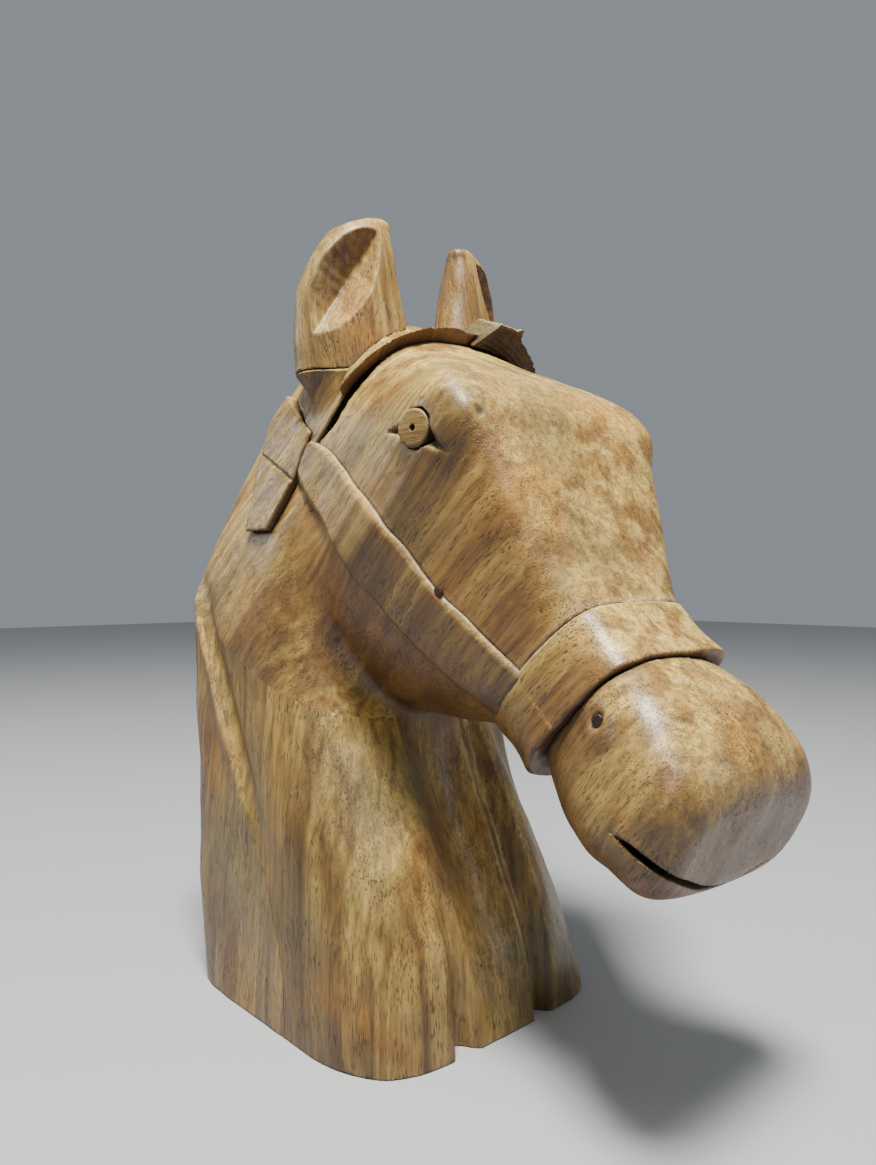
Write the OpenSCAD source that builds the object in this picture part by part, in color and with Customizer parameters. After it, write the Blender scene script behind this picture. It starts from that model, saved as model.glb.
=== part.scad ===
// Carved wooden horse head bust: a neck, head and muzzle block joined with dowels, a relief-carved
// bridle of separate strips let into them, plug eyes, pegged ears and a few iron nails.
// The horse faces -Y and its right side is -X. The origin is the middle of the base on the table.

/* [Bridle] */
// How far the cheek straps stand out of the head
strap_proud = 2.0; // [1:0.5:3]
// How far the lower edge of the noseband stands out
noseband_proud = 4.0; // [2:0.5:5]
// How far the lower edge of the browband stands out
browband_proud = 4.5; // [2:0.5:5]
// How deep each strip of the bridle is let into the block behind it
strap_let_in = 3.0; // [2:0.5:4]
// Height of the splintered block on the browband
forelock_proud = 9.0; // [7:0.5:10]

/* [Eyes] */
// Diameter of an eye plug
eye_d = 13.0; // [10:0.5:14]
// Depth of the socket that an eye plug sits in
eye_depth = 9.0; // [6:0.5:12]
// Diameter of the pupil hole
pupil_d = 2.2; // [1:0.2:4]

/* [Ears] */
// Height of the ear tips above the table
ear_tip = 300; // [290:1:302]
// Width of the hollow in an ear
ear_hollow = 26; // [18:1:28]

/* [Joinery] */
// Diameter of the two dowels between neck and head
neck_dowel_d = 12; // [8:1:16]
// Length of the two dowels between neck and head
neck_dowel_l = 60; // [40:1:70]
// Diameter of the dowels between neck and mane board
mane_dowel_d = 10; // [6:1:12]
// Diameter of the dowel between head and muzzle
muzzle_dowel_d = 14; // [8:1:18]
// Length of the dowel between head and muzzle
muzzle_dowel_l = 52; // [30:1:60]
// Diameter of the peg under each ear
ear_peg_d = 8; // [6:1:10]
// Diameter of a nail's shank
nail_d = 2.0; // [1.6:0.2:2.4]
// Diameter of a nail's head
nail_head_d = 4.0; // [3:0.5:5]

/* [Hidden] */

// Wood and metal colours
body_wood = [0.66, 0.49, 0.29];
mane_wood = [0.60, 0.43, 0.25];
strap_wood = [0.52, 0.36, 0.20];
raw_wood = [0.34, 0.22, 0.12];
dowel_wood = [0.80, 0.66, 0.44];
iron = [0.16, 0.15, 0.17];

// Number of points round a section, and a size beyond the whole carving
round_points = 48;
far = 400;

// Stations of a loft: place along the axis, lowest, middle and highest point of the section, half width,
// how far the sides lean in at the top and at the bottom, and the squareness of the upper and lower half.
// Neck: the place is the height, and "lowest" is the front and "highest" the back of the neck.
neck_stations = [
    [-10, -58,  5, 62, 61.0, 0.00, 0.02, 10.0, 4.5],
    [  0, -58,  5, 62, 61.0, 0.00, 0.02, 10.0, 4.5],
    [ 30, -56,  5, 66, 61.5, 0.00, 0.04, 10.0, 4.0],
    [ 60, -46,  8, 70, 61.0, 0.00, 0.08,  9.0, 3.4],
    [ 90, -30, 14, 74, 60.0, 0.00, 0.12,  8.0, 3.0],
    [120, -15, 20, 79, 59.0, 0.00, 0.12,  8.0, 2.8],
    [150, -10, 22, 82, 58.0, 0.01, 0.08,  8.0, 2.8],
    [180, -16, 20, 80, 52.5, 0.05, 0.02,  5.5, 2.8],
    [210, -26, 12, 71, 43.5, 0.10, 0.00,  4.5, 2.8],
    [235, -30,  4, 57, 37.0, 0.14, 0.00,  3.5, 2.8],
    [256, -30, -2, 36, 31.0, 0.18, 0.00,  3.0, 2.8]
];
neck_top = 256;
// Head: from the poll down the face
head_stations = [
    [-34, -40, -10, 10.0, 26.0, 0.10, 0.10, 2.6, 2.6],
    [-12, -62, -12, 25.0, 38.0, 0.15, 0.10, 2.8, 2.8],
    [ 14, -76, -14, 34.0, 42.5, 0.20, 0.10, 3.8, 2.8],
    [ 36, -84, -14, 41.0, 45.5, 0.12, 0.10, 6.0, 2.7],
    [ 56, -86, -14, 46.5, 49.0, 0.00, 0.12, 9.0, 2.6],
    [ 66, -86, -14, 46.0, 49.0, 0.00, 0.12, 9.0, 2.6],
    [ 80, -82, -12, 41.0, 45.0, 0.03, 0.12, 7.0, 2.5],
    [ 98, -73, -10, 34.0, 41.5, 0.07, 0.15, 7.0, 2.4],
    [116, -57,  -9, 28.0, 38.0, 0.10, 0.20, 6.0, 2.4],
    [134, -38,  -7, 25.0, 34.0, 0.12, 0.20, 5.0, 2.8],
    [146, -31,  -6, 23.0, 31.0, 0.12, 0.10, 4.0, 3.0]
];
head_start = -26;
// Muzzle: from inside the noseband to the lips
muzzle_stations = [
    [-24, -20,  0, 20.0, 26.0, 0.00, 0.00, 2.8, 2.6],
    [ -8, -24,  0, 23.0, 29.0, 0.00, 0.00, 2.8, 2.6],
    [  0, -29,  0, 25.5, 32.0, 0.00, 0.00, 3.0, 2.8],
    [ 10, -33, -1, 26.5, 36.0, 0.00, 0.00, 3.0, 3.0],
    [ 22, -34, -3, 25.5, 40.0, 0.03, 0.00, 3.0, 3.2],
    [ 34, -31.5, -5, 22.0, 42.0, 0.08, 0.02, 3.0, 3.6],
    [ 46, -31, -7, 16.0, 42.5, 0.12, 0.04, 3.0, 3.8],
    [ 56, -30, -8, 12.0, 41.0, 0.15, 0.06, 3.0, 3.8]
];
muzzle_end = 50;
end_round = 10;

// How much further out the left side is carved than the right, along the head and along the muzzle
left_head = [[-16, 0], [6, 5], [25, 7], [42, 8.5], [62, 9.5], [85, 7], [110, 4], [134, -4.5], [160, -5.5]];
left_muzzle = [[-10, -5], [10, -3.5], [30, -2], [50, -2]];
// How much lower the muzzle sits for each step to the left
muzzle_roll = 0.07;
// That extra grows from nothing in the middle to its full size at this distance from it
left_full = 40;

// Frame of the head and of the muzzle: a point on the axis, and how far the axis dips below level
head_at = [0, -5, 235];
head_dip = 46.05;
muzzle_at = [0, -109.5, 121];
muzzle_dip = 27.0;

// The muzzle is glued on under the noseband, and the head sits on the neck on a sloping seat
muzzle_seam = 144;
seat_height = 118.75;
seat_slope = atan(0.45);
// Outline of the joint between neck and mane board, seen from the side
mane_line = [[-7, -20], [-6.5, 20], [-4, 32], [3, 48], [60, 142], [110, 225]];

// Bridle edges: [place along the head, lower edge, upper edge] of the cheek strap
cheek_edges = [
    [10, -28.5, -18], [16, -29.5, -15], [36, -30.5, -10.5], [60, -30, -6], [98, -31, -7.5], [118, -29, -5.5],
    [136, -25, -4]
];
// The bare head under the noseband, and the noseband's upper and lower edge along the head
noseband_stations = [
    [130, -38.0, -7, 25.0, 34.0, 0.10, 0.20, 5.0, 2.8],
    [134, -37.5, -7, 25.0, 34.0, 0.10, 0.18, 5.0, 2.8],
    [145, -33.0, -6, 23.5, 32.0, 0.05, 0.10, 5.0, 2.9],
    [160, -30.0, -5, 22.5, 31.0, 0.02, 0.05, 5.0, 3.0]
];
noseband_from = 134;
noseband_to = 155;
// How far the noseband and browband stand out at their upper edge
upper_proud = 0.8;
// Browband: [angle round the head from its right side, upper edge, lower edge], the same on the left
browband_edges = [[-1, -18, 15], [12, -11, 13], [30, -4, 11], [50, 1, 10.5], [70, 3.5, 10], [90, 2.5, 8.5]];
// Splintered block on the browband: the angles it spans, and its upper and lower edge
forelock_angles = [84, 130];
forelock_edges = [-3, 12];

// Slat behind each ear, seen from the side as [back, up], its slanting outer face and its thickness
slat_outline = [[-4, 215], [24, 236], [33, 226], [33, 204], [31, 182], [9.5, 182], [4.5, 201]];
slat_face = [-46, 0, 218];
slat_lean = 14.8;
slat_t = 8;

eye_at = [-49.6, -64, 210.5];
eye_turn = 12;
// How much further out the left eye sits
eye_left_out = 9.3;
// How far a plug stands out of its socket
eye_proud = 0.6;

ear_at = [-32.5, -4.5, 0];
ear_turn = 25;
// Ear: height, shift towards the forehead, half width, half thickness
ear_stations = [
    [238, 3.4, 22.3, 13.5],
    [257, 2.4, 22.0, 13.5],
    [269, 1.4, 20.0, 13.0],
    [280, 2.2, 17.2, 11.6],
    [289, 4.1, 14.3, 9.4],
    [295, 6.0, 11.2, 7.4],
    [299, 10.0, 6.4, 5.0],
    [300, 11.0, 4.6, 4.0]
];
ear_foot = 240;
ear_hollow_at = [-1, -14.5, 274];
ear_hollow_deep = 9;
ear_hollow_h = 46;
ear_peg_l = 38;
ear_peg_top = 259;

neck_dowel_at = [18, 12, seat_height + 12 * tan(seat_slope)];
mane_dowels_at = [[-25, -4, 30], [25, -4, 30], [0, 31, 92]];
mane_dowel_l = 38;
muzzle_dowel_v = -5;

// Nails on the right side, and a nail's length and head thickness
nails_at = [[-43.4, -68, 159], [-41.2, 9, 240], [-36.6, -125, 124.5]];
// How much further out each of them sits on the left side
nails_left = [5.5, 0, -3.3];
nail_l = 16;
nail_head_t = 1.2;

// Lips: a point on the cut, its slope down to the front, and its width and depth
lips_at = [0, -134, 95];
lips_slope = 50;
lips_w = 1.6;
lips_deep = 3.5;
lips_back = -122;

// ---- Curves through the stations ----
function knot(t, s, i = 0) = i >= len(t) - 2 || s < t[i + 1][0] ? i : knot(t, s, i + 1);
function rise(t, c, i) = (t[i + 1][c] - t[i][c]) / (t[i + 1][0] - t[i][0]);
function slope(t, c, i) =
    i == 0 ? rise(t, c, 0)
    : i == len(t) - 1 ? rise(t, c, i - 1)
    : rise(t, c, i) == 0 || rise(t, c, i - 1) == 0 ? 0
    : let(before = t[i][0] - t[i - 1][0], after = t[i + 1][0] - t[i][0])
        (rise(t, c, i - 1) * after + rise(t, c, i) * before) / (before + after);
function curve(t, c, s) =
    let(i = knot(t, s), h = t[i + 1][0] - t[i][0], x = min(max((s - t[i][0]) / h, 0), 1))
    (2 * x ^ 3 - 3 * x ^ 2 + 1) * t[i][c] + (x ^ 3 - 2 * x ^ 2 + x) * h * slope(t, c, i)
    + (3 * x ^ 2 - 2 * x ^ 3) * t[i + 1][c] + (x ^ 3 - x ^ 2) * h * slope(t, c, i + 1);
function bump(t) = 0.5 + 0.5 * cos(180 * min(max(t, -1), 1));

// ---- Sections ----
// One section's numbers at place s, made larger all round by grow
function section(t, s, grow = 0) = [
    curve(t, 1, s) - grow, curve(t, 2, s), curve(t, 3, s) + grow, curve(t, 4, s) + grow,
    curve(t, 5, s), curve(t, 6, s), curve(t, 7, s), curve(t, 8, s)
];
// Point [across, up] on a section at angle a, which runs from the right side over the top
function rim(c, a) =
    let(up = sin(a) >= 0, n = up ? c[6] : c[7], q = abs(sin(a)) ^ (2 / n))
    let(w = c[3] * (1 - (up ? c[4] : c[5]) * q ^ 2), x = -sign(cos(a)) * w * abs(cos(a)) ^ (2 / n))
    [x, up ? c[1] + (c[2] - c[1]) * q : c[1] - (c[1] - c[0]) * q];
// Half width of a section at height v
function half_width(c, v) =
    let(up = v > c[1], n = up ? c[6] : c[7], q = up ? (v - c[1]) / (c[2] - c[1]) : (c[1] - v) / (c[1] - c[0]))
    c[3] * (1 - (up ? c[4] : c[5]) * q ^ 2) * max(1 - q ^ n, 0) ^ (1 / n);
// Angles closer together on the flats, where a square section would otherwise have long facets
function rim_angle(i) = let(a = 360 * i / round_points) a - 7 * sin(4 * a);
// [place, inset] of the rings that round off an end over a radius r
function rounded_end(s, r, way) = [for (a = [0:22.5:90]) [s + way * (r * sin(a) - r), r - r * cos(a)]];
function backwards(l) = [for (i = [len(l) - 1:-1:0]) l[i]];

// A point at place s along an axis that dips to the front, and [across, up] in its section
function on_axis(at, dip, s, p) =
    at + [p[0], -s * cos(dip) - p[1] * sin(dip), p[1] * cos(dip) - s * sin(dip)];
// The same point moved out on the left side as far as a table says for its place
function uneven(t, s, p) = [p[0] + curve(t, 1, s) * min(max(p[0] / left_full, 0), 1), p[1]];
function head_point(s, p) = on_axis(head_at, head_dip, s, uneven(left_head, s, p));
function muzzle_point(s, p) =
    on_axis(muzzle_at, muzzle_dip, s, uneven(left_muzzle, s, [p[0], p[1] - muzzle_roll * p[0]]));
function head_ring(t, s, grow) =
    let(c = section(t, s, grow)) [for (i = [0:round_points - 1]) head_point(s, rim(c, rim_angle(i)))];
function muzzle_ring(s, grow) =
    let(c = section(muzzle_stations, s, grow))
    [for (i = [0:round_points - 1]) muzzle_point(s, rim(c, rim_angle(i)))];

// ---- Solids ----
// Closed solid through rings of points, all rings in the same order
module loft(rings) {
    n = len(rings[0]);
    last = len(rings) - 1;
    side = [for (i = [0:last - 1], j = [0:n - 1]) let(k = (j + 1) % n)
        each [[i * n + j, i * n + k, (i + 1) * n + k], [i * n + j, (i + 1) * n + k, (i + 1) * n + j]]];
    first_cap = [for (j = [n - 1:-1:0]) j];
    last_cap = [for (j = [0:n - 1]) last * n + j];
    polyhedron([for (ring = rings) each ring], concat(side, [first_cap, last_cap]));
}

// Joins carved surfaces into one skin, before any round hole is bored in it
module carved_skin() {
    resize([0, 0, 0]) children();
}

module mirrored() {
    mirror([1, 0, 0]) children();
}

module both_sides() {
    children();
    mirrored() children();
}

// Turns the drawing so that its Z axis runs down the head, with the origin at place s and height v
module along_head(s, v = 0) {
    translate(head_point(s, [0, v])) rotate([90 + head_dip, 0, 0]) children();
}

// ---- The blank forms ----
valley_depth = [[0, 0], [25, 6], [50, 13], [75, 14], [100, 8], [125, 0]];
right_crease = [[0, 7], [40, 3], [75, 0]];
left_crease = [[0, 6], [50, 5], [140, 0]];
crease_x = 19.5;
// The left muscle is slimmer towards its outer side
left_slimming = [[0, 0], [30, 6], [66, 11], [100, 10], [140, 0]];
// How far the front of the neck is cut back between its two big muscles, with a crease beside each
function neck_carving(x, z) =
    curve(valley_depth, 1, z) * bump((x - 2) / 30)
    + curve(right_crease, 1, z) * bump((x + crease_x) / 7)
    + curve(left_crease, 1, z) * bump((x - crease_x) / 6)
    + curve(left_slimming, 1, z) * bump((min(x, 52) - 52) / 32);
function neck_point(p, z) = [p[0], p[1] + neck_carving(p[0], z) * min(max((8 - p[1]) / 25, 0), 1), z];

module neck_form() {
    end = rounded_end(neck_top, 12, 1);
    levels = concat([for (z = [-6:9:neck_top - 14]) [z, 0]], end);
    loft([for (l = levels) let(c = section(neck_stations, l[0], -l[1]))
        [for (i = [0:round_points - 1]) neck_point(rim(c, rim_angle(i)), l[0])]]);
}

module head_form() {
    start = rounded_end(head_start, 12, -1);
    levels = concat(backwards(start), [for (s = [head_start + 17:6:muzzle_seam + 4]) [s, 0]]);
    loft([for (l = levels) head_ring(head_stations, l[0], -l[1])]);
}

module muzzle_form(grow = 0) {
    middle = [for (s = [-24:5:muzzle_end - end_round - 3]) [s, 0]];
    levels = concat(middle, rounded_end(muzzle_end, end_round, 1));
    loft([for (l = levels) muzzle_ring(l[0] + (l[0] > 0 ? grow : 0), grow - l[1])]);
}

// Everything above the seat of the head on the neck
module above_seat() {
    translate([0, 0, seat_height]) rotate([seat_slope, 0, 0]) translate([-far / 2, -far / 2, 0]) cube(far);
}

// Everything behind the joint of the mane board
module behind_mane_line() {
    outline = concat(mane_line, [[200, 225], [200, -20]]);
    translate([far / 2, 0, 0]) rotate([90, 0, -90]) linear_extrude(far) mirror([1, 0]) polygon(outline);
}

// Everything on the muzzle's side of the seam under the noseband
module beyond_seam() {
    along_head(muzzle_seam) translate([-far / 2, -far / 2, 0]) cube(far);
}

module below_table() {
    translate([-far / 2, -far / 2, -far]) cube(far);
}

// ---- Bridle forms ----
// Cheek strap on the right side (side -1) or on the left side (side 1)
module cheek_strap_form(side) {
    loft([for (s = concat([for (k = [10:6.2:133]) k], [noseband_from])) let(
        c = section(head_stations, s), low = curve(cheek_edges, 1, s), high = curve(cheek_edges, 2, s),
        heights = [for (j = [0:4]) low + (high - low) * j / 4],
        ring = concat(
            [for (v = heights) head_point(s, [side * (half_width(c, v) + strap_proud), v])],
            [for (v = backwards(heights)) head_point(s, [side * (half_width(c, v) - strap_let_in), v])]
        )) side < 0 ? ring : backwards(ring)]);
}

module noseband_form() {
    difference() {
        loft([for (j = [0:6]) let(s = noseband_from + (noseband_to - noseband_from) * j / 6)
            head_ring(noseband_stations, s, upper_proud + (noseband_proud - upper_proud) * j / 6)]);
        loft([for (s = [noseband_from - 1, (noseband_from + noseband_to) / 2, noseband_to + 1])
            head_ring(noseband_stations, s, -strap_let_in)]);
    }
}

// Strip round the head from angle a0 to a1, with its edges and heights as functions of the angle
function band_ring(a, edges, proud, let_in) =
    let(places = [for (j = [0:4]) edges[1] + (edges[0] - edges[1]) * j / 4])
    concat(
        [for (j = [0:4]) head_point(places[j], rim(section(head_stations, places[j],
            proud[1] + (proud[0] - proud[1]) * j / 4), a))],
        [for (s = backwards(places)) head_point(s, rim(section(head_stations, s, -let_in), a))]
    );
function browband_edge(c, a) = curve(browband_edges, c, a > 90 ? 180 - a : a);

module browband_form() {
    loft([for (i = [0:32]) let(t = i / 32, a = 182 * t - 1 - 6 * sin(720 * t))
        band_ring(a, [browband_edge(1, a), browband_edge(2, a)], [upper_proud, browband_proud],
            strap_let_in)]);
}

// Ragged steps of broken wood, each between 0 and 1
function splinter(i) = abs(sin(137 * i + 40)) * 0.6 + abs(sin(71 * i)) * 0.4;

module forelock_form() {
    steps = 14;
    span = forelock_angles[1] - forelock_angles[0];
    loft([for (i = [0:2 * steps - 1]) let(
        k = floor(i / 2), a = forelock_angles[0] + span * ceil(i / 2) / steps - (i % 2 == 0 ? 0 : 0.2),
        top = forelock_proud - 3 * splinter(k),
        upper = forelock_edges[0] + 3 * splinter(k + 5), lower = forelock_edges[1] - 3 * splinter(k + 9))
        band_ring(a, [upper, lower], [top - 1, top], -1)]);
}

module mane_slat_form() {
    intersection() {
        translate([-20, 0, 0]) rotate([90, 0, -90]) linear_extrude(60) mirror([1, 0]) polygon(slat_outline);
        translate(slat_face) rotate([0, slat_lean, 0]) translate([0, -far / 2, -far / 2])
            cube([slat_t, far, far]);
    }
}

// ---- Ears, eyes and fixings ----
module in_ear() {
    translate(ear_at) rotate([0, 0, -ear_turn]) children();
}

module ear_form() {
    levels = concat(
        [for (z = [ear_foot:5:ear_tip - 11]) z], [for (d = [7, 4, 2, 0.8, 0]) ear_tip - d]
    );
    in_ear() loft([for (z = levels) let(
        shift = curve(ear_stations, 1, z), w = curve(ear_stations, 2, z), t = curve(ear_stations, 3, z))
        [for (i = [0:31]) [shift + w * cos(i * 11.25), -t * sin(i * 11.25), z]]]);
}

module ear_peg() {
    in_ear() translate([0, 0, ear_peg_top - ear_peg_l]) cylinder(d = ear_peg_d, h = ear_peg_l, $fn = 48);
}

module right_ear() {
    difference() {
        carved_skin() difference() {
            ear_form();
            in_ear() translate(ear_hollow_at) scale([ear_hollow / 2, ear_hollow_deep, ear_hollow_h / 2])
                sphere(1, $fn = 36);
        }
        ear_peg();
    }
}

// Turns the drawing so that its Z axis points out of the eye on the right (side -1) or left (side 1)
module at_eye(side) {
    if (side < 0) translate(eye_at) rotate([0, 0, eye_turn]) rotate([0, -90, 0]) children();
    else translate([eye_left_out, 0, 0]) mirrored() at_eye(-1) children();
}

module eye_socket(side) {
    at_eye(side) translate([0, 0, -eye_depth]) cylinder(d = eye_d, h = eye_depth + 20, $fn = 64);
}

module eye_plug(side) {
    at_eye(side) difference() {
        translate([0, 0, -eye_depth]) cylinder(d = eye_d, h = eye_depth + eye_proud, $fn = 64);
        translate([0, 0, -eye_depth / 2]) cylinder(d = pupil_d, h = eye_depth, $fn = 32);
    }
}

module neck_dowel_pair() {
    both_sides() translate(neck_dowel_at) rotate([seat_slope, 0, 0])
        cylinder(d = neck_dowel_d, h = neck_dowel_l, center = true, $fn = 48);
}

module mane_dowel_set() {
    for (p = mane_dowels_at)
        translate(p) rotate([90, 0, 0]) cylinder(d = mane_dowel_d, h = mane_dowel_l, center = true, $fn = 48);
}

module muzzle_dowel_form() {
    along_head(muzzle_seam, muzzle_dowel_v)
        cylinder(d = muzzle_dowel_d, h = muzzle_dowel_l, center = true, $fn = 48);
}

module nail() {
    rotate([0, 90, 0]) {
        cylinder(d = nail_d, h = nail_l, $fn = 24);
        cylinder(d = nail_head_d, h = nail_head_t, $fn = 32);
    }
}

module nail_set() {
    for (i = [0:len(nails_at) - 1]) {
        translate(nails_at[i]) nail();
        translate([nails_left[i], 0, 0]) mirrored() translate(nails_at[i]) nail();
    }
}

// The cut between the lips, as deep as lips_deep round the front of the muzzle
module lips_cut() {
    intersection() {
        difference() {
            translate(lips_at) rotate([lips_slope, 0, 0])
                cube([far, far, lips_w], center = true);
            muzzle_form(-lips_deep);
        }
        translate([-far / 2, lips_back - far, 0]) cube(far);
    }
}

// ---- The pieces ----
module neck_block() {
    color(body_wood) difference() {
        carved_skin() difference() {
            neck_form();
            above_seat();
            behind_mane_line();
            below_table();
        }
        neck_dowel_pair();
        mane_dowel_set();
    }
}

module mane_board() {
    color(mane_wood) difference() {
        carved_skin() difference() {
            intersection() {
                neck_form();
                behind_mane_line();
            }
            above_seat();
            below_table();
        }
        mane_dowel_set();
    }
}

module head_block() {
    color(body_wood) difference() {
        carved_skin() difference() {
            intersection() {
                union() {
                    neck_form();
                    head_form();
                }
                above_seat();
            }
            beyond_seam();
            noseband_form();
            browband_form();
            cheek_strap_form(-1);
            cheek_strap_form(1);
            both_sides() {
                mane_slat_form();
                ear_form();
            }
        }
        eye_socket(-1);
        eye_socket(1);
        both_sides() ear_peg();
        neck_dowel_pair();
        muzzle_dowel_form();
        nail_set();
    }
}

module muzzle_block() {
    color(body_wood) difference() {
        carved_skin() difference() {
            intersection() {
                muzzle_form();
                beyond_seam();
            }
            noseband_form();
            lips_cut();
        }
        muzzle_dowel_form();
        nail_set();
    }
}

module noseband() {
    color(strap_wood) carved_skin() noseband_form();
}

module browband() {
    color(strap_wood) difference() {
        carved_skin() difference() {
            browband_form();
            forelock_form();
            both_sides() ear_form();
        }
        nail_set();
    }
}

module forelock() {
    color(raw_wood) carved_skin() difference() {
        forelock_form();
        both_sides() ear_form();
    }
}

module cheek_strap(side) {
    color(strap_wood) difference() {
        carved_skin() difference() {
            cheek_strap_form(side);
            browband_form();
            both_sides() mane_slat_form();
        }
        nail_set();
    }
}

module cheek_strap_right() {
    cheek_strap(-1);
}

module cheek_strap_left() {
    cheek_strap(1);
}

module mane_slat_right() {
    color(mane_wood) carved_skin() difference() {
        mane_slat_form();
        browband_form();
    }
}

module mane_slat_left() {
    mirrored() mane_slat_right();
}

module ear_right() {
    color(body_wood) right_ear();
}

module ear_left() {
    color(body_wood) mirrored() right_ear();
}

module eye_right() {
    color(strap_wood) eye_plug(-1);
}

module eye_left() {
    color(strap_wood) eye_plug(1);
}

module neck_dowels() {
    color(dowel_wood) neck_dowel_pair();
}

module mane_dowels() {
    color(dowel_wood) mane_dowel_set();
}

module muzzle_dowel() {
    color(dowel_wood) muzzle_dowel_form();
}

module ear_pegs() {
    color(dowel_wood) both_sides() ear_peg();
}

module nails() {
    color(iron) nail_set();
}

neck_block();
mane_board();
head_block();
muzzle_block();
noseband();
browband();
forelock();
cheek_strap_right();
cheek_strap_left();
mane_slat_right();
mane_slat_left();
ear_right();
ear_left();
eye_right();
eye_left();
neck_dowels();
mane_dowels();
muzzle_dowel();
ear_pegs();
nails();
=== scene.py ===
"""Carved wooden horse head bust: a neck, head and muzzle block with a relief-carved bridle."""
import math

import bpy
import numpy as np
from bpy.props import FloatProperty, FloatVectorProperty, PointerProperty
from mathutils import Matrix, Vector


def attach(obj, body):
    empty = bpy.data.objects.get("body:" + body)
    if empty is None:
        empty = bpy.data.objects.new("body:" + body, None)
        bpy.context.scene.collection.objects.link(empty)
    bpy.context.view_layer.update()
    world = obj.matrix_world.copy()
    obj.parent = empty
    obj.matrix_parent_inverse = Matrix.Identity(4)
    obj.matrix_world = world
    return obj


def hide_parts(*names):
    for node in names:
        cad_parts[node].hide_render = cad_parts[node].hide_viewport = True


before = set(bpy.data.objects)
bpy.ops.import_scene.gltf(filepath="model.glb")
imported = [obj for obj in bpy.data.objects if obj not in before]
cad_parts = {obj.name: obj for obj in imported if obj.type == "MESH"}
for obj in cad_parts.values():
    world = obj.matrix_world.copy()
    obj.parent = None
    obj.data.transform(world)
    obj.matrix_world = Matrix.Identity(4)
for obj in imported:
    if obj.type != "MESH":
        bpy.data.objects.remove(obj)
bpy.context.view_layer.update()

bl_info = {
    "name": "Carved Horse Head",
    "version": (1, 0, 0),
    "blender": (4, 5, 0),
    "location": "View3D > Sidebar > Carving",
    "description": "Carves a wooden horse head bust with a relief bridle",
    "category": "Object",
}

MM = 0.001

# ---------------------------------------------------------------- stations of the carving, in millimetres
# place along the axis, lowest, middle and highest point, half width, lean of the sides at the top and
# at the bottom, squareness of the upper and of the lower half
NECK = [
    (-10, -58, 5, 62, 61.0, 0.00, 0.02, 10.0, 4.5),
    (0, -58, 5, 62, 61.0, 0.00, 0.02, 10.0, 4.5),
    (30, -56, 5, 66, 61.5, 0.00, 0.04, 10.0, 4.0),
    (60, -46, 8, 70, 61.0, 0.00, 0.08, 9.0, 3.4),
    (90, -30, 14, 74, 60.0, 0.00, 0.12, 8.0, 3.0),
    (120, -15, 20, 79, 59.0, 0.00, 0.12, 8.0, 2.8),
    (150, -10, 22, 82, 58.0, 0.01, 0.08, 8.0, 2.8),
    (180, -16, 20, 80, 52.5, 0.05, 0.02, 5.5, 2.8),
    (210, -26, 12, 71, 43.5, 0.10, 0.00, 4.5, 2.8),
    (235, -30, 4, 57, 37.0, 0.14, 0.00, 3.5, 2.8),
    (256, -30, -2, 36, 31.0, 0.18, 0.00, 3.0, 2.8),
]
HEAD = [
    (-34, -40, -10, 10.0, 26.0, 0.10, 0.10, 2.6, 2.6),
    (-12, -62, -12, 25.0, 38.0, 0.15, 0.10, 2.8, 2.8),
    (14, -76, -14, 34.0, 42.5, 0.20, 0.10, 3.8, 2.8),
    (36, -84, -14, 41.0, 45.5, 0.12, 0.10, 6.0, 2.7),
    (56, -86, -14, 46.5, 49.0, 0.00, 0.12, 9.0, 2.6),
    (66, -86, -14, 46.0, 49.0, 0.00, 0.12, 9.0, 2.6),
    (80, -82, -12, 41.0, 45.0, 0.03, 0.12, 7.0, 2.5),
    (98, -73, -10, 34.0, 41.5, 0.07, 0.15, 7.0, 2.4),
    (116, -57, -9, 28.0, 38.0, 0.10, 0.20, 6.0, 2.4),
    (134, -38, -7, 25.0, 34.0, 0.12, 0.20, 5.0, 2.8),
    (146, -31, -6, 23.0, 31.0, 0.12, 0.10, 4.0, 3.0),
]
MUZZLE = [
    (-24, -20, 0, 20.0, 26.0, 0.00, 0.00, 2.8, 2.6),
    (-8, -24, 0, 23.0, 29.0, 0.00, 0.00, 2.8, 2.6),
    (0, -29, 0, 25.5, 32.0, 0.00, 0.00, 3.0, 2.8),
    (10, -33, -1, 26.5, 36.0, 0.00, 0.00, 3.0, 3.0),
    (22, -34, -3, 25.5, 40.0, 0.03, 0.00, 3.0, 3.2),
    (34, -31.5, -5, 22.0, 42.0, 0.08, 0.02, 3.0, 3.6),
    (46, -31, -7, 16.0, 42.5, 0.12, 0.04, 3.0, 3.8),
    (56, -30, -8, 12.0, 41.0, 0.15, 0.06, 3.0, 3.8),
]
NOSEBAND = [
    (130, -38.0, -7, 25.0, 34.0, 0.10, 0.20, 5.0, 2.8),
    (134, -37.5, -7, 25.0, 34.0, 0.10, 0.18, 5.0, 2.8),
    (145, -33.0, -6, 23.5, 32.0, 0.05, 0.10, 5.0, 2.9),
    (160, -30.0, -5, 22.5, 31.0, 0.02, 0.05, 5.0, 3.0),
]
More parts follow.
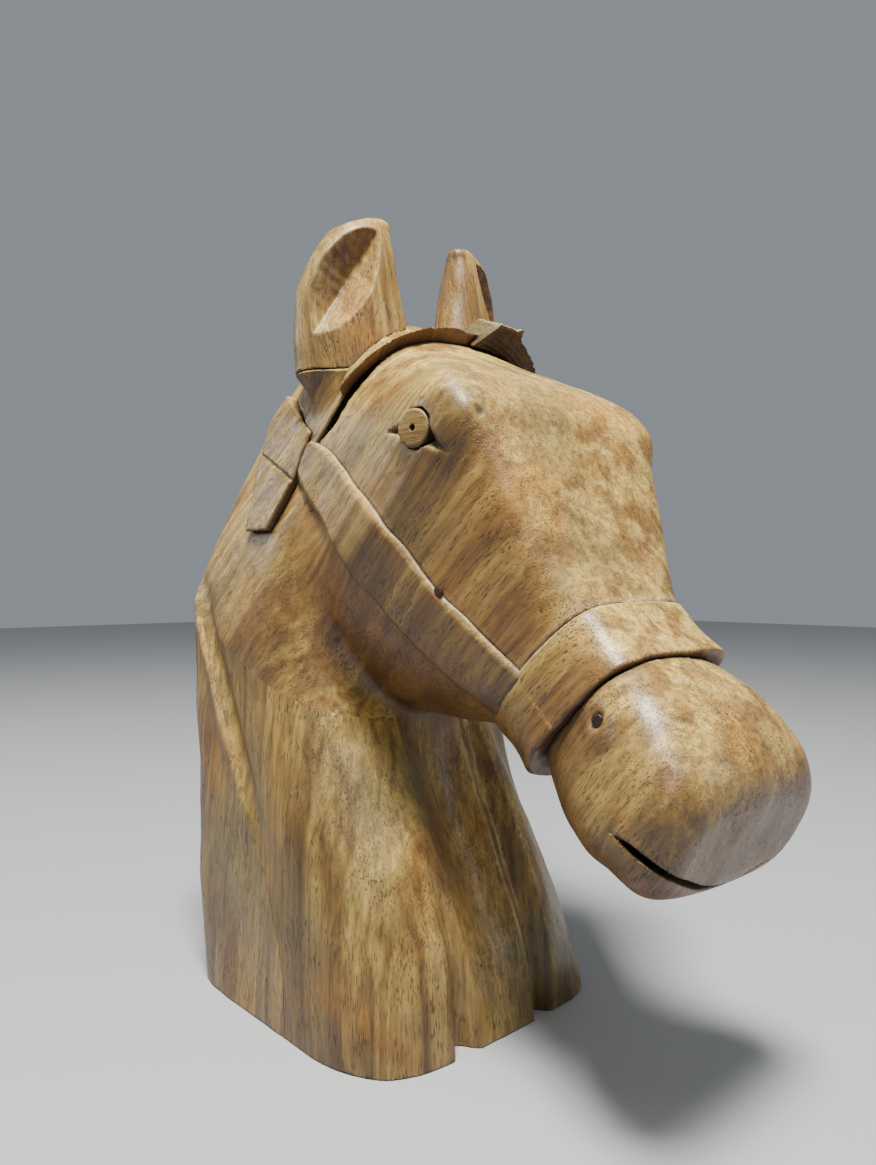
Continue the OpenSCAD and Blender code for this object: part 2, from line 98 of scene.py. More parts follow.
# height, shift towards the forehead, half width, half thickness
EAR = [
    (238, 3.4, 22.3, 13.5), (257, 2.4, 22.0, 13.5), (269, 1.4, 20.0, 13.0), (280, 2.2, 17.2, 11.6),
    (289, 4.1, 14.3, 9.4), (295, 6.0, 11.2, 7.4), (299, 10.0, 6.4, 5.0), (300, 11.0, 4.6, 4.0),
]
HEAD_AT, HEAD_DIP, HEAD_START = (-5.0, 235.0), 46.05, -26.0
MUZZLE_AT, MUZZLE_DIP, MUZZLE_END = (-109.5, 121.0), 27.0, 50.0
NECK_TOP, TOP_ROUND, LIP_ROUND = 256.0, 12.0, 10.0
SEAM, SEAT_HEIGHT, SEAT_SLOPE = 144.0, 118.75, 0.45
MANE_LINE = [(-20, -7), (20, -6.5), (32, -4), (48, 3), (142, 60), (225, 110)]
CHEEK_LOW = [(10, -28.5), (16, -29.5), (36, -30.5), (60, -30), (98, -31), (118, -29), (136, -25)]
CHEEK_HIGH = [(10, -18), (16, -15), (36, -10.5), (60, -6), (98, -7.5), (118, -5.5), (136, -4)]
BAND_FROM, BAND_TO = 134.0, 155.0
# how much further out the left side is carved than the right, along the head and along the muzzle
LEFT_HEAD = [(-16, 0), (6, 5), (25, 7), (42, 8.5), (62, 9.5), (85, 7), (110, 4), (134, -4.5), (160, -5.5)]
LEFT_MUZZLE = [(-10, -5), (10, -3.5), (30, -2), (50, -2)]
# how much lower the muzzle sits for each step to the left
MUZZLE_ROLL = 0.07
# height in the head's frame, upper edge and lower edge of the browband
BROW_HIGH = [(-20, -19), (-10, -15.5), (0, -11.5), (10, -5.5), (19, 0), (26, 3), (31, 4), (40, 2.5)]
BROW_LOW = [(-20, 15), (-10, 14), (0, 12), (11, 10.6), (26, 10), (31, 9.8), (40, 8.5)]
SLAT = [(-4, 215), (24, 236), (33, 226), (33, 204), (31, 182), (9.5, 182), (4.5, 201)]
EYE_AT, EYE_TURN, EYE_LEFT_OUT = (-49.6, -64.0, 210.5), 12.0, 9.3
EAR_AT, EAR_TURN, EAR_FOOT, EAR_TIP = (-32.5, -4.5), 25.0, 240.0, 300.0
EYE_RADIUS, SOCKET_RADIUS, SOCKET_DEPTH, PINHOLE_RADIUS, PINHOLE_DEPTH = 6.25, 6.5, 9.0, 1.1, 4.5
# turn, length and half width of the two cuts at the corners of the eye, and their depth
EYE_CUTS = [(214, 17.0, 3.7), (176, 18.0, 3.0)]
EYE_CUT_DEPTH = 4.2
# how deep the bridle is let into the head, how deep its pockets are, and the play between two pieces
LET_IN, POCKET_DEPTH, PLAY, SEAT_PLAY = 3.0, 3.3, 0.1, 0.02
# how far the noseband's groove is cut into the head and the muzzle
BAND_GROOVE = 3.2
# place across the muzzle and height of the cut between the lips, where it ends and where it is full
LIPS = [(-50, 94.5), (-42, 93.2), (-31, 87.4), (-16, 79.8), (-1, 75), (15, 77.8), (29, 81.6), (44, 93)]
LIPS_END, LIPS_FULL, LIPS_FRONT, LIPS_RISE = -133.0, -141.0, -143.0, 0.45
# middle, radius and depth of the knots and chips in the head
KNOTS = [
    ((-40.6, -84.7, 213.6), 1.3, 0.8), ((-41.2, -83.2, 215.2), 1.0, 0.6), ((-17.4, -84, 219), 1.6, 0.25),
    ((-9.5, -106.6, 169), 1.8, 0.8), ((-7.5, -107.6, 168), 1.2, 0.6), ((5.9, -115, 156.5), 1.2, 0.7),
]
# middle, radius and depth of the chip beside the nostril
CHIP_AT, CHIP_SPREAD, CHIP_DEPTH = (-35.7, -124.7, 124.7), 6.0, 1.2
FORELOCK_FROM, FORELOCK_TO = 1.5, 46.0
# middle of each nail's head on the right side, and how much further out it sits on the left side
NAILS = [(-43.4, -68, 159, 5.5), (-41.2, 9, 240, 0), (-36.6, -125, 124.5, -3.3)]
# distance below the top of a nail's head and radius there, the nail's length, and points round it
NAIL_RINGS = [(0.05, 0.9), (0.22, 1.6), (0.55, 2.0), (1.0, 2.0), (1.2, 1.0), (15, 0.9)]
NAIL_LENGTH, NAIL_POINTS = 16.0, 28


# ---------------------------------------------------------------- curves and soft joins
def curve(table, t, column=1):
    """Smooth curve through a table's rows, level beyond its ends."""
    k = np.array([row[0] for row in table], float)
    v = np.array([row[column] for row in table], float)
    gap = np.diff(k)
    rise = np.diff(v) / gap
    slope = np.empty(len(k))
    slope[0], slope[-1] = rise[0], rise[-1]
    slope[1:-1] = (rise[:-1] * gap[1:] + rise[1:] * gap[:-1]) / (gap[:-1] + gap[1:])
    slope[1:-1][(rise[:-1] == 0) | (rise[1:] == 0)] = 0
    t = np.clip(t, k[0], k[-1])
    i = np.clip(np.searchsorted(k, t, side="right") - 1, 0, len(k) - 2)
    h = gap[i]
    x = (t - k[i]) / h
    return ((2 * x ** 3 - 3 * x ** 2 + 1) * v[i] + (x ** 3 - 2 * x ** 2 + x) * h * slope[i]
            + (3 * x ** 2 - 2 * x ** 3) * v[i + 1] + (x ** 3 - x ** 2) * h * slope[i + 1])


def broken(table, t):
    """Straight lines through a table's rows."""
    return np.interp(t, [row[0] for row in table], [row[1] for row in table])


def soft_min(a, b, r):
    """The nearer of two fields, with the corner between them rounded over r."""
    h = np.clip(0.5 + 0.5 * (b - a) / r, 0, 1)
    return b * (1 - h) + a * h - r * h * (1 - h)


def soft_max(a, b, r):
    return -soft_min(-a, -b, r)


def bump(t):
    """Rises from 0 at -1 to 1 in the middle and falls back to 0 at 1."""
    return 0.5 + 0.5 * np.cos(np.pi * np.clip(t, -1, 1))


def step(low, high, t):
    """Eases from 0 at low to 1 at high."""
    x = np.clip((t - low) / (high - low), 0, 1)
    return x * x * (3 - 2 * x)


def ripple(x, y, z, size, shift=0.0):
    """Uneven waves of about the given size, between -1 and 1, the same on every run."""
    total = 0.0
    for i in range(6):
        turn, lift = 2.4 * i + shift, math.asin(-0.8 + 0.32 * i)
        k = 2 * math.pi / (size * (0.75 + 0.11 * i))
        along = x * math.cos(turn) * math.cos(lift) + y * math.sin(turn) * math.cos(lift) + z * math.sin(lift)
        total = total + np.sin(k * along + 1.7 * i + shift)
    return total / 4


# ---------------------------------------------------------------- blank forms as fields, negative inside
def section_field(table, place, up, across, inset=0.0):
    """Rounded section that changes along the axis as the table's stations say."""
    low, middle, high, width, lean_top, lean_foot, square_top, square_foot = (
        curve(table, place, c) for c in range(1, 9))
    low, high, width = low + inset, high - inset, width - inset
    upper = up > middle
    reach = np.where(upper, high - middle, middle - low)
    q = np.abs(up - middle) / reach
    side = width * (1 - np.where(upper, lean_top, lean_foot) * np.clip(q, 0, 1.1) ** 2)
    n = np.where(upper, square_top, square_foot)
    r = (np.abs(across / side) ** n + q ** n) ** (1 / n)
    return (r - 1) * np.minimum(np.minimum(side, reach), 40)


def evened(x, more):
    """Place across the piece with its left side drawn in as far as it was carved further out."""
    return np.where(x > 0, np.maximum(x / (1 + more / 40), x - more), x)


def end_inset(left, r):
    """How far a section shrinks at a distance left before a rounded end."""
    d = np.clip(left, 0, r)
    return r - np.sqrt(np.maximum(r * r - (r - d) ** 2, 0))


def dipped(at, dip, y, z):
    """Place along an axis that dips to the front, and height above it."""
    c, s = math.cos(math.radians(dip)), math.sin(math.radians(dip))
    dy, dz = y - at[0], z - at[1]
    return -dy * c - dz * s, dz * c - dy * s


def head_frame(y, z):
    """Place from the poll towards the nose, and height above the head's axis."""
    return dipped(HEAD_AT, HEAD_DIP, y, z)


def muzzle_frame(y, z):
    return dipped(MUZZLE_AT, MUZZLE_DIP, y, z)


def neck_hollow(x, z):
    """How far the front of the neck is cut back between its two muscles, with a crease beside each."""
    valley = curve([(0, 0), (25, 6), (50, 13), (75, 14), (100, 8), (125, 0)], z) * bump((x - 2) / 30)
    right = curve([(0, 7), (40, 3), (75, 0)], z) * bump((x + 19.5 + 0.05 * z) / 7)
    left = curve([(0, 6), (50, 5), (140, 0)], z) * bump((x - 19.5) / 6)
    far_side = curve([(0, 0), (30, 6), (66, 11), (100, 10), (140, 0)], z) * step(20, 52, x)
    return valley + right + left + far_side


def mane_side(y, z):
    """Distance behind the joint of the mane board."""
    return (y - broken(MANE_LINE, z)) * 0.86


def neck_field(x, y, z):
    front = np.clip((8 - y) / 25, 0, 1)
    f = section_field(NECK, z, y - neck_hollow(x, z) * front, x, inset=end_inset(NECK_TOP - z, TOP_ROUND))
    f = np.maximum(f, z - NECK_TOP)
    behind = mane_side(y, z)
    raised = step(50, 110, z) * step(172, 150, z)
    on_side = step(0.80, 0.97, np.abs(x) / 60)
    lip = 1.3 * np.exp(-((behind - 2.5) / 3.5) ** 2) - 1.9 * np.exp(-((behind + 4.5) / 4.5) ** 2)
    return f - lip * raised * on_side


def head_field(x, y, z):
    s, v = head_frame(y, z)
    x = evened(x, curve(LEFT_HEAD, s))
    f = section_field(HEAD, s, v, x, inset=end_inset(s - HEAD_START, TOP_ROUND))
    return np.maximum(f, HEAD_START - s)


def body_field(x, y, z):
    f = soft_min(neck_field(x, y, z), head_field(x, y, z), 9)
    root = ears(x, y, z) + 0.6 + 0.55 * np.maximum(239 - z, 0) + 0.8 * np.maximum(z - 239, 0)
    f = soft_min(f, root, 5)
    return f - 0.35 * ripple(x, y, z, 34) - 0.10 * ripple(x, y, z, 11, 2.0)


def muzzle_blank(x, y, z):
    s, v = muzzle_frame(y, z)
    x = evened(x, curve(LEFT_MUZZLE, s))
    f = section_field(MUZZLE, s, v + MUZZLE_ROLL * x, x, inset=end_inset(MUZZLE_END - s, LIP_ROUND))
    f = np.maximum(f, s - MUZZLE_END)
    return f - 0.35 * ripple(x, y, z, 30, 1.0) - 0.10 * ripple(x, y, z, 10, 3.0)


# ---------------------------------------------------------------- bridle as bands over the blank forms
def cheek_region(x, y, z):
    s, v = head_frame(y, z)
    wander = 0.35 * ripple(x, y, z, 16, 4.0)
    across = np.maximum(curve(CHEEK_LOW, s) - v, v - curve(CHEEK_HIGH, s)) + wander
    return np.maximum(np.maximum(across, s - BAND_FROM - 2), brow_end(y, z))


def brow_end(y, z):
    """Distance below the slanting end of the browband, negative on the face side of it."""
    s, v = head_frame(y, z)
    return (11 - s) * 0.99 - 0.1 * (v + 17)


def brow_region(x, y, z):
    s, v = head_frame(y, z)
    f = np.maximum(curve(BROW_HIGH, v) - s, s - curve(BROW_LOW, v) + 0.4 * ripple(x, y, z, 14, 5.0))
    return np.maximum(f, -17.5 - 0.1 * s - v)


def band_region(y, z):
    s, v = head_frame(y, z)
    return np.maximum(BAND_FROM - s, s - BAND_TO)


def slat_region(y, z):
    """Distance outside the slat's outline, seen from the side."""
    f = -1e3
    for (ya, za), (yb, zb) in zip(SLAT, SLAT[1:] + SLAT[:1]):
        length = math.hypot(yb - ya, zb - za)
        f = np.maximum(f, ((yb - ya) * (za - z) - (zb - za) * (ya - y)) / length * -1)
    return f


def under_noseband(x, y, z):
    s, v = head_frame(y, z)
    return section_field(NOSEBAND, s, v, evened(x, curve(LEFT_HEAD, s)))


def noseband_form(x, y, z):
    s, v = head_frame(y, z)
    t = np.clip((s - BAND_FROM) / (BAND_TO - BAND_FROM), 0, 1)
    under = under_noseband(x, y, z)
    outer = under - 0.8 - 3.2 * t + 0.25 * ripple(x, y, z, 20, 6.0)
    f = soft_max(outer, s - BAND_TO + 0.3 * ripple(x, y, z, 12, 7.0), 1.2)
    f = soft_max(f, BAND_FROM - s, 0.8)
    return np.maximum(f, -under - LET_IN)


# ---------------------------------------------------------------- meshes from fields
def surface_net(f, origin, h):
    """Quads through the zero surface of a grid of samples."""
    inside = f < 0
    nx, ny, nz = f.shape
    total = np.zeros((nx - 1, ny - 1, nz - 1, 3))
    count = np.zeros((nx - 1, ny - 1, nz - 1))
    corners = [(i, j, k) for i in (0, 1) for j in (0, 1) for k in (0, 1)]
    span = [slice(0, -1), slice(1, None)]
    for a in corners:
        for axis in range(3):
            if a[axis]:
                continue
            b = tuple(1 if m == axis else a[m] for m in range(3))
            fa = f[span[a[0]], span[a[1]], span[a[2]]]
            fb = f[span[b[0]], span[b[1]], span[b[2]]]
            cross = (fa < 0) != (fb < 0)
            t = np.where(cross, fa / np.where(cross, fa - fb, 1), 0)
            for m in range(3):
                total[..., m] += cross * (a[m] + (t if m == axis else 0))
            count += cross
    used = count > 0
    number = np.full(count.shape, -1)
    number[used] = np.arange(used.sum())
    cells = np.argwhere(used)
    verts = (cells + total[used] / count[used][:, None]) * h + origin
    quads = []
    for axis in range(3):
        u, w = [(1, 2), (2, 0), (0, 1)][axis]
        first = [slice(1, -1)] * 3
        first[axis] = slice(0, -1)
        second = list(first)
        second[axis] = slice(1, None)
        ina, inb = inside[tuple(first)], inside[tuple(second)]
        at = np.argwhere(ina != inb) + [0 if m == axis else 1 for m in range(3)]
        flip = inb[ina != inb]
        ring = []
        for du, dw in ((0, 0), (-1, 0), (-1, -1), (0, -1)):
            c = at.copy()
            c[:, u] += du
            c[:, w] += dw
            ring.append(number[c[:, 0], c[:, 1], c[:, 2]])
        q = np.stack(ring, 1)
        q[flip] = q[flip][:, ::-1]
        quads.append(q)
    return verts, np.concatenate(quads)


def main_part(verts, quads):
    """The largest connected part of a mesh, without loose specks."""
    label = np.arange(len(verts))
    while True:
        lower = label.copy()
        np.minimum.at(lower, quads.ravel(), np.repeat(label[quads].min(axis=1), 4))
        lower = lower[lower]
        if np.array_equal(lower, label):
            break
        label = lower
    part = label[quads[:, 0]]
    quads = quads[part == np.bincount(part).argmax()]
    used = np.unique(quads)
    number = np.full(len(verts), -1)
    number[used] = np.arange(len(used))
    return verts[used], number[quads]


def sample(field, low, high, h, coarse=6):
    """Field on a fine grid, worked out only near its surface."""
    low = np.array(low, float)
    block = h * coarse
    n = np.ceil((np.array(high) - low) / block).astype(int) + 1
    centres = [low[m] + (np.arange(n[m]) + 0.5) * block for m in range(3)]
    X, Y, Z = np.meshgrid(*centres, indexing="ij")
    rough = field(X, Y, Z)
    full = np.repeat(np.repeat(np.repeat(rough, coarse, 0), coarse, 1), coarse, 2)
    full = np.where(full < 0, -1.0, 1.0) * block
    near = np.argwhere(np.abs(rough) < block * 1.9 + 4.0)
    o = np.arange(coarse)
    for start in range(0, len(near), 4000):
        part = near[start:start + 4000]
        I = (part[:, 0, None] * coarse + o)[:, :, None, None]
        J = (part[:, 1, None] * coarse + o)[:, None, :, None]
        K = (part[:, 2, None] * coarse + o)[:, None, None, :]
        shape = np.broadcast_shapes(I.shape, J.shape, K.shape)
        xyz = [np.broadcast_to(low[m] + g * h, shape).ravel() for m, g in enumerate((I, J, K))]
        idx = [np.broadcast_to(g, shape).ravel() for g in (I, J, K)]
        full[idx[0], idx[1], idx[2]] = field(*xyz)
    return full, low


def gradient(field, p, d):
    g = np.empty_like(p)
    for m in range(3):
        a, b = p.copy(), p.copy()
        a[:, m] += d
        b[:, m] -= d
        g[:, m] = (field(*a.T) - field(*b.T)) / (2 * d)
    return g


def settled(field, p, h):
    """Points drawn onto the field's zero surface."""
    for _ in range(2):
        g = gradient(field, p, 0.25 * h)
        f = field(*p.T)
        steep = np.maximum((g ** 2).sum(1), 0.2)
        move = -(f / steep)[:, None] * g
        size = np.linalg.norm(move, axis=1)
        move *= np.minimum(1, 0.45 * h / np.maximum(size, 1e-9))[:, None]
        p = p + move
    return p


def edged(surface, joint, p, h):
    """Points near the edge between a surface and a joint, drawn onto that edge."""
    near = (np.abs(surface(*p.T)) < 0.8 * h) & (np.abs(joint(*p.T)) < 0.8 * h)
    q = p[near]
    for _ in range(3):
        fa, fb = surface(*q.T), joint(*q.T)
        ga, gb = gradient(surface, q, 0.25 * h), gradient(joint, q, 0.25 * h)
        aa, bb, ab = (ga * ga).sum(1), (gb * gb).sum(1), (ga * gb).sum(1)
        spread = np.maximum(aa * bb - ab * ab, 0.05)
        move = ((fa * bb - fb * ab) / spread)[:, None] * ga + ((fb * aa - fa * ab) / spread)[:, None] * gb
        size = np.linalg.norm(move, axis=1)
        q = q - move * np.minimum(1, 0.6 * h / np.maximum(size, 1e-9))[:, None]
    p[near] = q
    return p


# ---------------------------------------------------------------- every piece as a field
def above_seat(y, z):
    """Distance above the sloping seat of the head on the neck."""
    return (z - SEAT_HEIGHT - SEAT_SLOPE * y) / math.hypot(1, SEAT_SLOPE)


def groove(across, below, width, depth):
    """V-shaped cut, given the distance from its middle line and the depth below the surface."""
    return (np.abs(across) / width + below / depth - 1) * np.minimum(width, depth)


def eye_frame(x, y, z):
    """Distance backwards, upwards and outwards from the middle of the right eye."""
    c, s = math.cos(math.radians(EYE_TURN)), math.sin(math.radians(EYE_TURN))
    dx, dy = x - EYE_AT[0], y - EYE_AT[1]
    return dy * c - dx * s, z - EYE_AT[2], -dx * c - dy * s


def ear_frame(x, y):
    """Place towards the forehead, and behind the middle plane of the right ear."""
    c, s = math.cos(math.radians(EAR_TURN)), math.sin(math.radians(EAR_TURN))
    dx, dy = x - EAR_AT[0], y - EAR_AT[1]
    return dx * c - dy * s, dx * s + dy * c


def mirrored(field):
    def other_side(x, y, z):
        return field(-x, y, z)
    return other_side


def eye_cuts(x, y, z, body):
    """Socket of the right eye's plug, and the two cuts that make its corners."""
    back, up, out = eye_frame(x, y, z)
    r = np.hypot(back, up)
    cuts = np.maximum(r - SOCKET_RADIUS - 0.5 * step(-3, 0, out), -SOCKET_DEPTH - out)
    for turn, length, wide in EYE_CUTS:
        dx, dz = math.cos(math.radians(turn)), math.sin(math.radians(turn))
        if turn < 180:
            dx = -dx
        along = back * dx + up * dz
        across = up * dx - back * dz
        left = np.clip((length - along) / (length - 5), 0.02, 1.2)
        cut = groove(across, -body, wide * left, EYE_CUT_DEPTH * left)
        cuts = np.minimum(cuts, np.maximum(cut, 4 - along))
    return np.maximum(cuts, -12 - out)


def eye_plug(x, y, z):
    """Right eye: a domed plug with a pinhole."""
    back, up, out = eye_frame(x, y, z)
    r = np.hypot(back, up)
    f = soft_max(r - EYE_RADIUS + 0.12 * ripple(x, y, z, 7, 1.5), out - 0.7 + 0.012 * r * r, 0.9)
    pinhole = np.maximum(r - PINHOLE_RADIUS, -PINHOLE_DEPTH - out)
    return np.maximum(np.maximum(f, -pinhole), -SOCKET_DEPTH - out)


def left_eye_plug(x, y, z):
    return eye_plug(EYE_LEFT_OUT - x, y, z)


def ear_blank(x, y, z):
    """Right ear before it is hollowed, running on downwards."""
    u, w = ear_frame(x, y)
    shift, wide, thick = (curve(EAR, z, c) for c in (1, 2, 3))
    r = np.sqrt(((u - shift) / wide) ** 2 + (w / thick) ** 2)
    return (r - 1) * np.minimum(wide, thick) * 1.3


def ear_field(x, y, z):
    """Right ear, scooped out in front of its fold."""
    u, w = ear_frame(x, y)
    f = ear_blank(x, y, z) - 0.25 * ripple(x, y, z, 17, 0.5)
    f = soft_max(f, z - EAR_TIP, 1.0)
    right_of_fold = (u + 7.5) * 0.862 - (z - 263) * 0.507
    along = (u - 2) * 0.507 + (z - 277) * 0.862
    wall = np.abs(right_of_fold) / np.where(right_of_fold > 0, 9.3, 20.0)
    chisel = 0.22 * ripple(x, y, z, 5, 2.2) + 0.3 * np.abs(ripple(x, y, z, 11, 8.1))
    scoop_floor = -12.5 + 11 * (1 - wall ** 1.15 - ((along + 3) / 31) ** 2) - chisel
    f = soft_max(f, (scoop_floor - w) * 0.8, 0.5)
    peg = np.maximum(np.hypot(u, w) - 4.0, z - 259)
    return np.maximum(np.maximum(f, EAR_FOOT - z), -peg)


def splinter(k):
    """Uneven heights between 0 and 1 for numbered splinters."""
    return np.abs(np.sin(2.39 * k + 0.7)) * 0.6 + np.abs(np.sin(1.24 * k)) * 0.4


def forelock_field(x, y, z):
    """Broken strip on the browband, left of the middle."""
    s, v = head_frame(y, z)
    body = body_field(x, y, z)
    layers = 0.3 * np.abs(np.sin(2.3 * body + 0.15 * x)) + 0.2 * np.abs(ripple(x, y, z, 4, 3.3))
    step_x = x + 0.3 * (s - 4) + 0.5 * ripple(x, y, z, 6, 1.1)
    top = 9.6 - 2.2 * step(23.5, 24.3, step_x) - 0.6 * step(38, 44, x)
    top = np.minimum(top - 0.9 * splinter(np.floor(step_x / 4.3)), 1.0 + x - FORELOCK_FROM)
    top = top - 0.35 * np.abs(ripple(x * 0.4, y, z, 3, 5.3)) - 0.08 * (10 - s)
    f = np.maximum(body - top, 0.6 - body)
    low = 12.6 - 0.9 * splinter(np.floor(step_x / 5.1) + 9) - layers
    f = np.maximum(f, np.maximum(-3 + 2.5 * splinter(np.floor(x / 3) + 5) - s, s - low))
    end = x - FORELOCK_TO + 1.2 * splinter(np.floor(body * 1.1))
    return np.maximum(np.maximum(f, FORELOCK_FROM - x), np.maximum(end, 6 - v)) * 0.8


def slat_field(x, y, z):
    """Right slat behind the ear, with the cut across its side."""
    depth = (x + 46) * 0.967 - (z - 218) * 0.255
    wavy = 0.25 * ripple(x, y, z, 13, 9.0)
    f = soft_max(slat_region(y, z) + wavy, wavy - depth, 1.0)
    cut = np.abs((z - 202) - 0.47 * (y - 9)) + 50 * np.maximum(4 - y, 0)
    f = np.maximum(f, -groove(cut, depth, 1.1, 0.8))
    return np.maximum(f, depth - 8)


def strap_field(x, y, z):
    """Both cheek straps, let into the cheeks."""
    s, v = head_frame(y, z)
    body = body_field(x, y, z)
    region = cheek_region(x, y, z)
    let_in = region + 2.4 * step(0.0, -0.7, body)
    bevel = 0.8 * step(2.0, 0.2, curve(CHEEK_HIGH, s) - v) + 0.5 * step(2.2, 0.2, v - curve(CHEEK_LOW, s))
    f = soft_max(body - 2.0 + bevel, let_in, 0.7)
    return np.maximum(np.maximum(f, -body - LET_IN), v - 20)


def strap_clear_of_slat(x, y, z):
    f = strap_field(x, y, z)
    return np.maximum(f, PLAY - slat_field(-np.abs(x), y, z))


def browband_field(x, y, z):
    """Band over the forehead, thickest at its lower edge and thin beside the ears."""
    s, v = head_frame(y, z)
    body = body_field(x, y, z)
    high, low = curve(BROW_HIGH, v), curve(BROW_LOW, v)
    t = np.clip((s - high) / (low - high), 0, 1)
    proud = 0.8 + 3.7 * t + 0.2 * ripple(x, y, z, 12, 2.7)
    proud = proud * (0.2 + 0.8 * step(0.5, 6, ears(x, y, z)))
    region = brow_region(x, y, z)
    let_in = region + 2.4 * step(0.0, -0.7, body)
    f = soft_max(body - proud, let_in, 0.9)
    f = np.maximum(f, -body - LET_IN)
    f = np.maximum(f, PLAY - forelock_field(x, y, z))
    ear = np.maximum(ears(x, y, z), EAR_FOOT - z)
    return np.maximum(f, 0.3 - ear)


def undercut_brow(x, y, z, body):
    """Gap left open under the browband's lower edge, deepest at the side."""
    s, v = head_frame(y, z)
    edge = s - curve(BROW_LOW, v)
    wide = 2.6 * step(-14, -4, v) * step(24, 12, v) + 0.5
    return np.maximum(groove(edge - 0.3, -body, wide, 2.2 * wide), np.maximum(-14 - v, v - 27))


def worn_body(x, y, z):
    """Neck and head as carved, with the knots and chips in their surface."""
    f = body_field(x, y, z)
    for (a, b, c), r, deep in KNOTS:
        f = f + deep * np.exp(-((x - a) ** 2 + (y - b) ** 2 + (z - c) ** 2) / r ** 2)
    return f


def ears(x, y, z):
    return np.minimum(ear_blank(x, y, z), ear_blank(-x, y, z))


def crack(z):
    """Half width of the open joint in front of the mane board."""
    return 0.03 + 0.14 * step(118, 90, z)


def neck_to_mane(x, y, z):
    return mane_side(y, z) + crack(z)


def mane_to_neck(x, y, z):
    return crack(z) - mane_side(y, z)


def under_seat(x, y, z):
    return above_seat(y, z) + SEAT_PLAY


def over_seat(x, y, z):
    return SEAT_PLAY - above_seat(y, z)


def under_head(x, y, z):
    return np.maximum(np.maximum(worn_body(x, y, z), under_seat(x, y, z)), -z)


def neck_block_field(x, y, z):
    return np.maximum(under_head(x, y, z), neck_to_mane(x, y, z))


def mane_board_field(x, y, z):
    return np.maximum(under_head(x, y, z), mane_to_neck(x, y, z))


def band_groove(x, y, z):
    """Groove that the noseband sits in."""
    return np.maximum(band_region(y, z) - PLAY, -BAND_GROOVE - under_noseband(x, y, z))


def head_block_field(x, y, z):
    s, v = head_frame(y, z)
    body = body_field(x, y, z)
    f = worn_body(x, y, z)
    f = np.maximum(np.maximum(f, over_seat(x, y, z)), s - SEAM + 0.05)
    pocket = np.maximum(cheek_region(x, y, z) + 1.5, v - 20)
    pocket = np.minimum(pocket, brow_region(x, y, z) + 1.5)
    side = -np.abs(x)
    slat = slat_field(side, y, z) - 0.15
    ear = np.maximum(ear_blank(side, y, z) - PLAY, EAR_FOOT - z)
    cuts = np.minimum(np.maximum(pocket, -body - POCKET_DEPTH), np.minimum(slat, ear))
    eyes = eye_cuts(np.where(x > 0, EYE_LEFT_OUT - x, x), y, z, body)
    cuts = np.minimum(cuts, np.minimum(eyes, undercut_brow(x, y, z, body)))
    return np.maximum(np.maximum(f, -cuts), -band_groove(x, y, z))


def muzzle_block_field(x, y, z):
    s, v = head_frame(y, z)
    f = muzzle_blank(x, y, z)
    off = (z - broken(LIPS, x) - LIPS_RISE * (y - LIPS_FRONT)) * 0.85
    near = step(6, -14, x)
    wide = (0.38 + 0.62 * near) * step(LIPS_END, LIPS_FULL, y) + 0.02
    lips = np.maximum(groove(off, -f, wide, 2.2 + 2.3 * near), y - LIPS_END)
    f = soft_max(f, -lips, 0.4)
    far = (x - CHIP_AT[0]) ** 2 + (y - CHIP_AT[1]) ** 2 + (z - CHIP_AT[2]) ** 2
    f = f + CHIP_DEPTH * np.exp(-far / CHIP_SPREAD)
    return np.maximum(np.maximum(f, SEAM - s + 0.05), -band_groove(x, y, z))


def whole_field(x, y, z):
    """Everything that can be seen, for finding recesses."""
    s, v = head_frame(y, z)
    side = -np.abs(x)
    head = np.where(s < 150, body_field(x, y, z), 50.0)
    f = np.minimum(head, np.maximum(muzzle_blank(x, y, z), SEAM - s))
    f = np.minimum(f, noseband_form(x, y, z))
    f = np.minimum(f, np.minimum(strap_field(x, y, z), browband_field(x, y, z)))
    f = np.minimum(f, np.minimum(slat_field(side, y, z), ear_field(side, y, z)))
    return np.minimum(f, forelock_field(x, y, z))


# ---------------------------------------------------------------- from field to finished object
def carve(name, field, low, high, spacing, raw_and_highlight=None, surface=None, joints=()):
    """Meshes a field into one closed piece that stands for the node of the same name, its recesses marked."""
    low = np.floor(np.array(low) / spacing) * spacing
    grid, origin = sample(field, low, high, spacing)
    verts, quads = surface_net(grid, origin, spacing)
    if len(quads) == 0:
        raise RuntimeError(name + " came out empty")
    verts, quads = main_part(verts, quads)
    verts = settled(field, verts, spacing)
    for joint in joints:
        verts = edged(surface, joint, verts, spacing)
    verts[:, 2] = np.maximum(verts[:, 2], 0)
    out = gradient(field, verts, 0.5)
    if surface:
        outside = np.abs(surface(*verts.T)) < 0.9 * spacing
        out[outside] = gradient(surface, verts[outside], 0.5)
    out /= np.maximum(np.linalg.norm(out, axis=1), 1e-6)[:, None]
    # The recess and corner marks measure how closed in each point is. The wood is darkened with them as
    # painted shade in hollows and creases, partly old wax.
    open_air = whole_field(*(verts + 3.5 * out).T) / 3.5
    near_air = whole_field(*(verts + 1.2 * out).T) / 1.2
    mesh = bpy.data.meshes.new(name)
    mesh.from_pydata((verts * MM).tolist(), [], quads.tolist())
    mesh.shade_smooth()
    mesh.set_sharp_from_angle(angle=math.radians(48))
    # The third mark lightens the wood with the freshly cut colour. It does so on cut edges, and as a painted
    # highlight where an operator asks for one.
    marks = {"recess": np.clip(1 - open_air, 0, 1), "corner": np.clip(1 - near_air, 0, 1),
             "raw_and_highlight": np.zeros(len(verts)) if raw_and_highlight is None else np.clip(raw_and_highlight(*verts.T), 0, 1)}
    for label, values in marks.items():
        mesh.attributes.new(label, "FLOAT", "POINT").data.foreach_set("value", values)
    piece = bpy.data.objects.new(name, mesh)
    bpy.context.scene.collection.objects.link(piece)
    place_piece(piece, name)
    return piece


def place_piece(piece, node):
    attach(piece, "root")
    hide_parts(node)


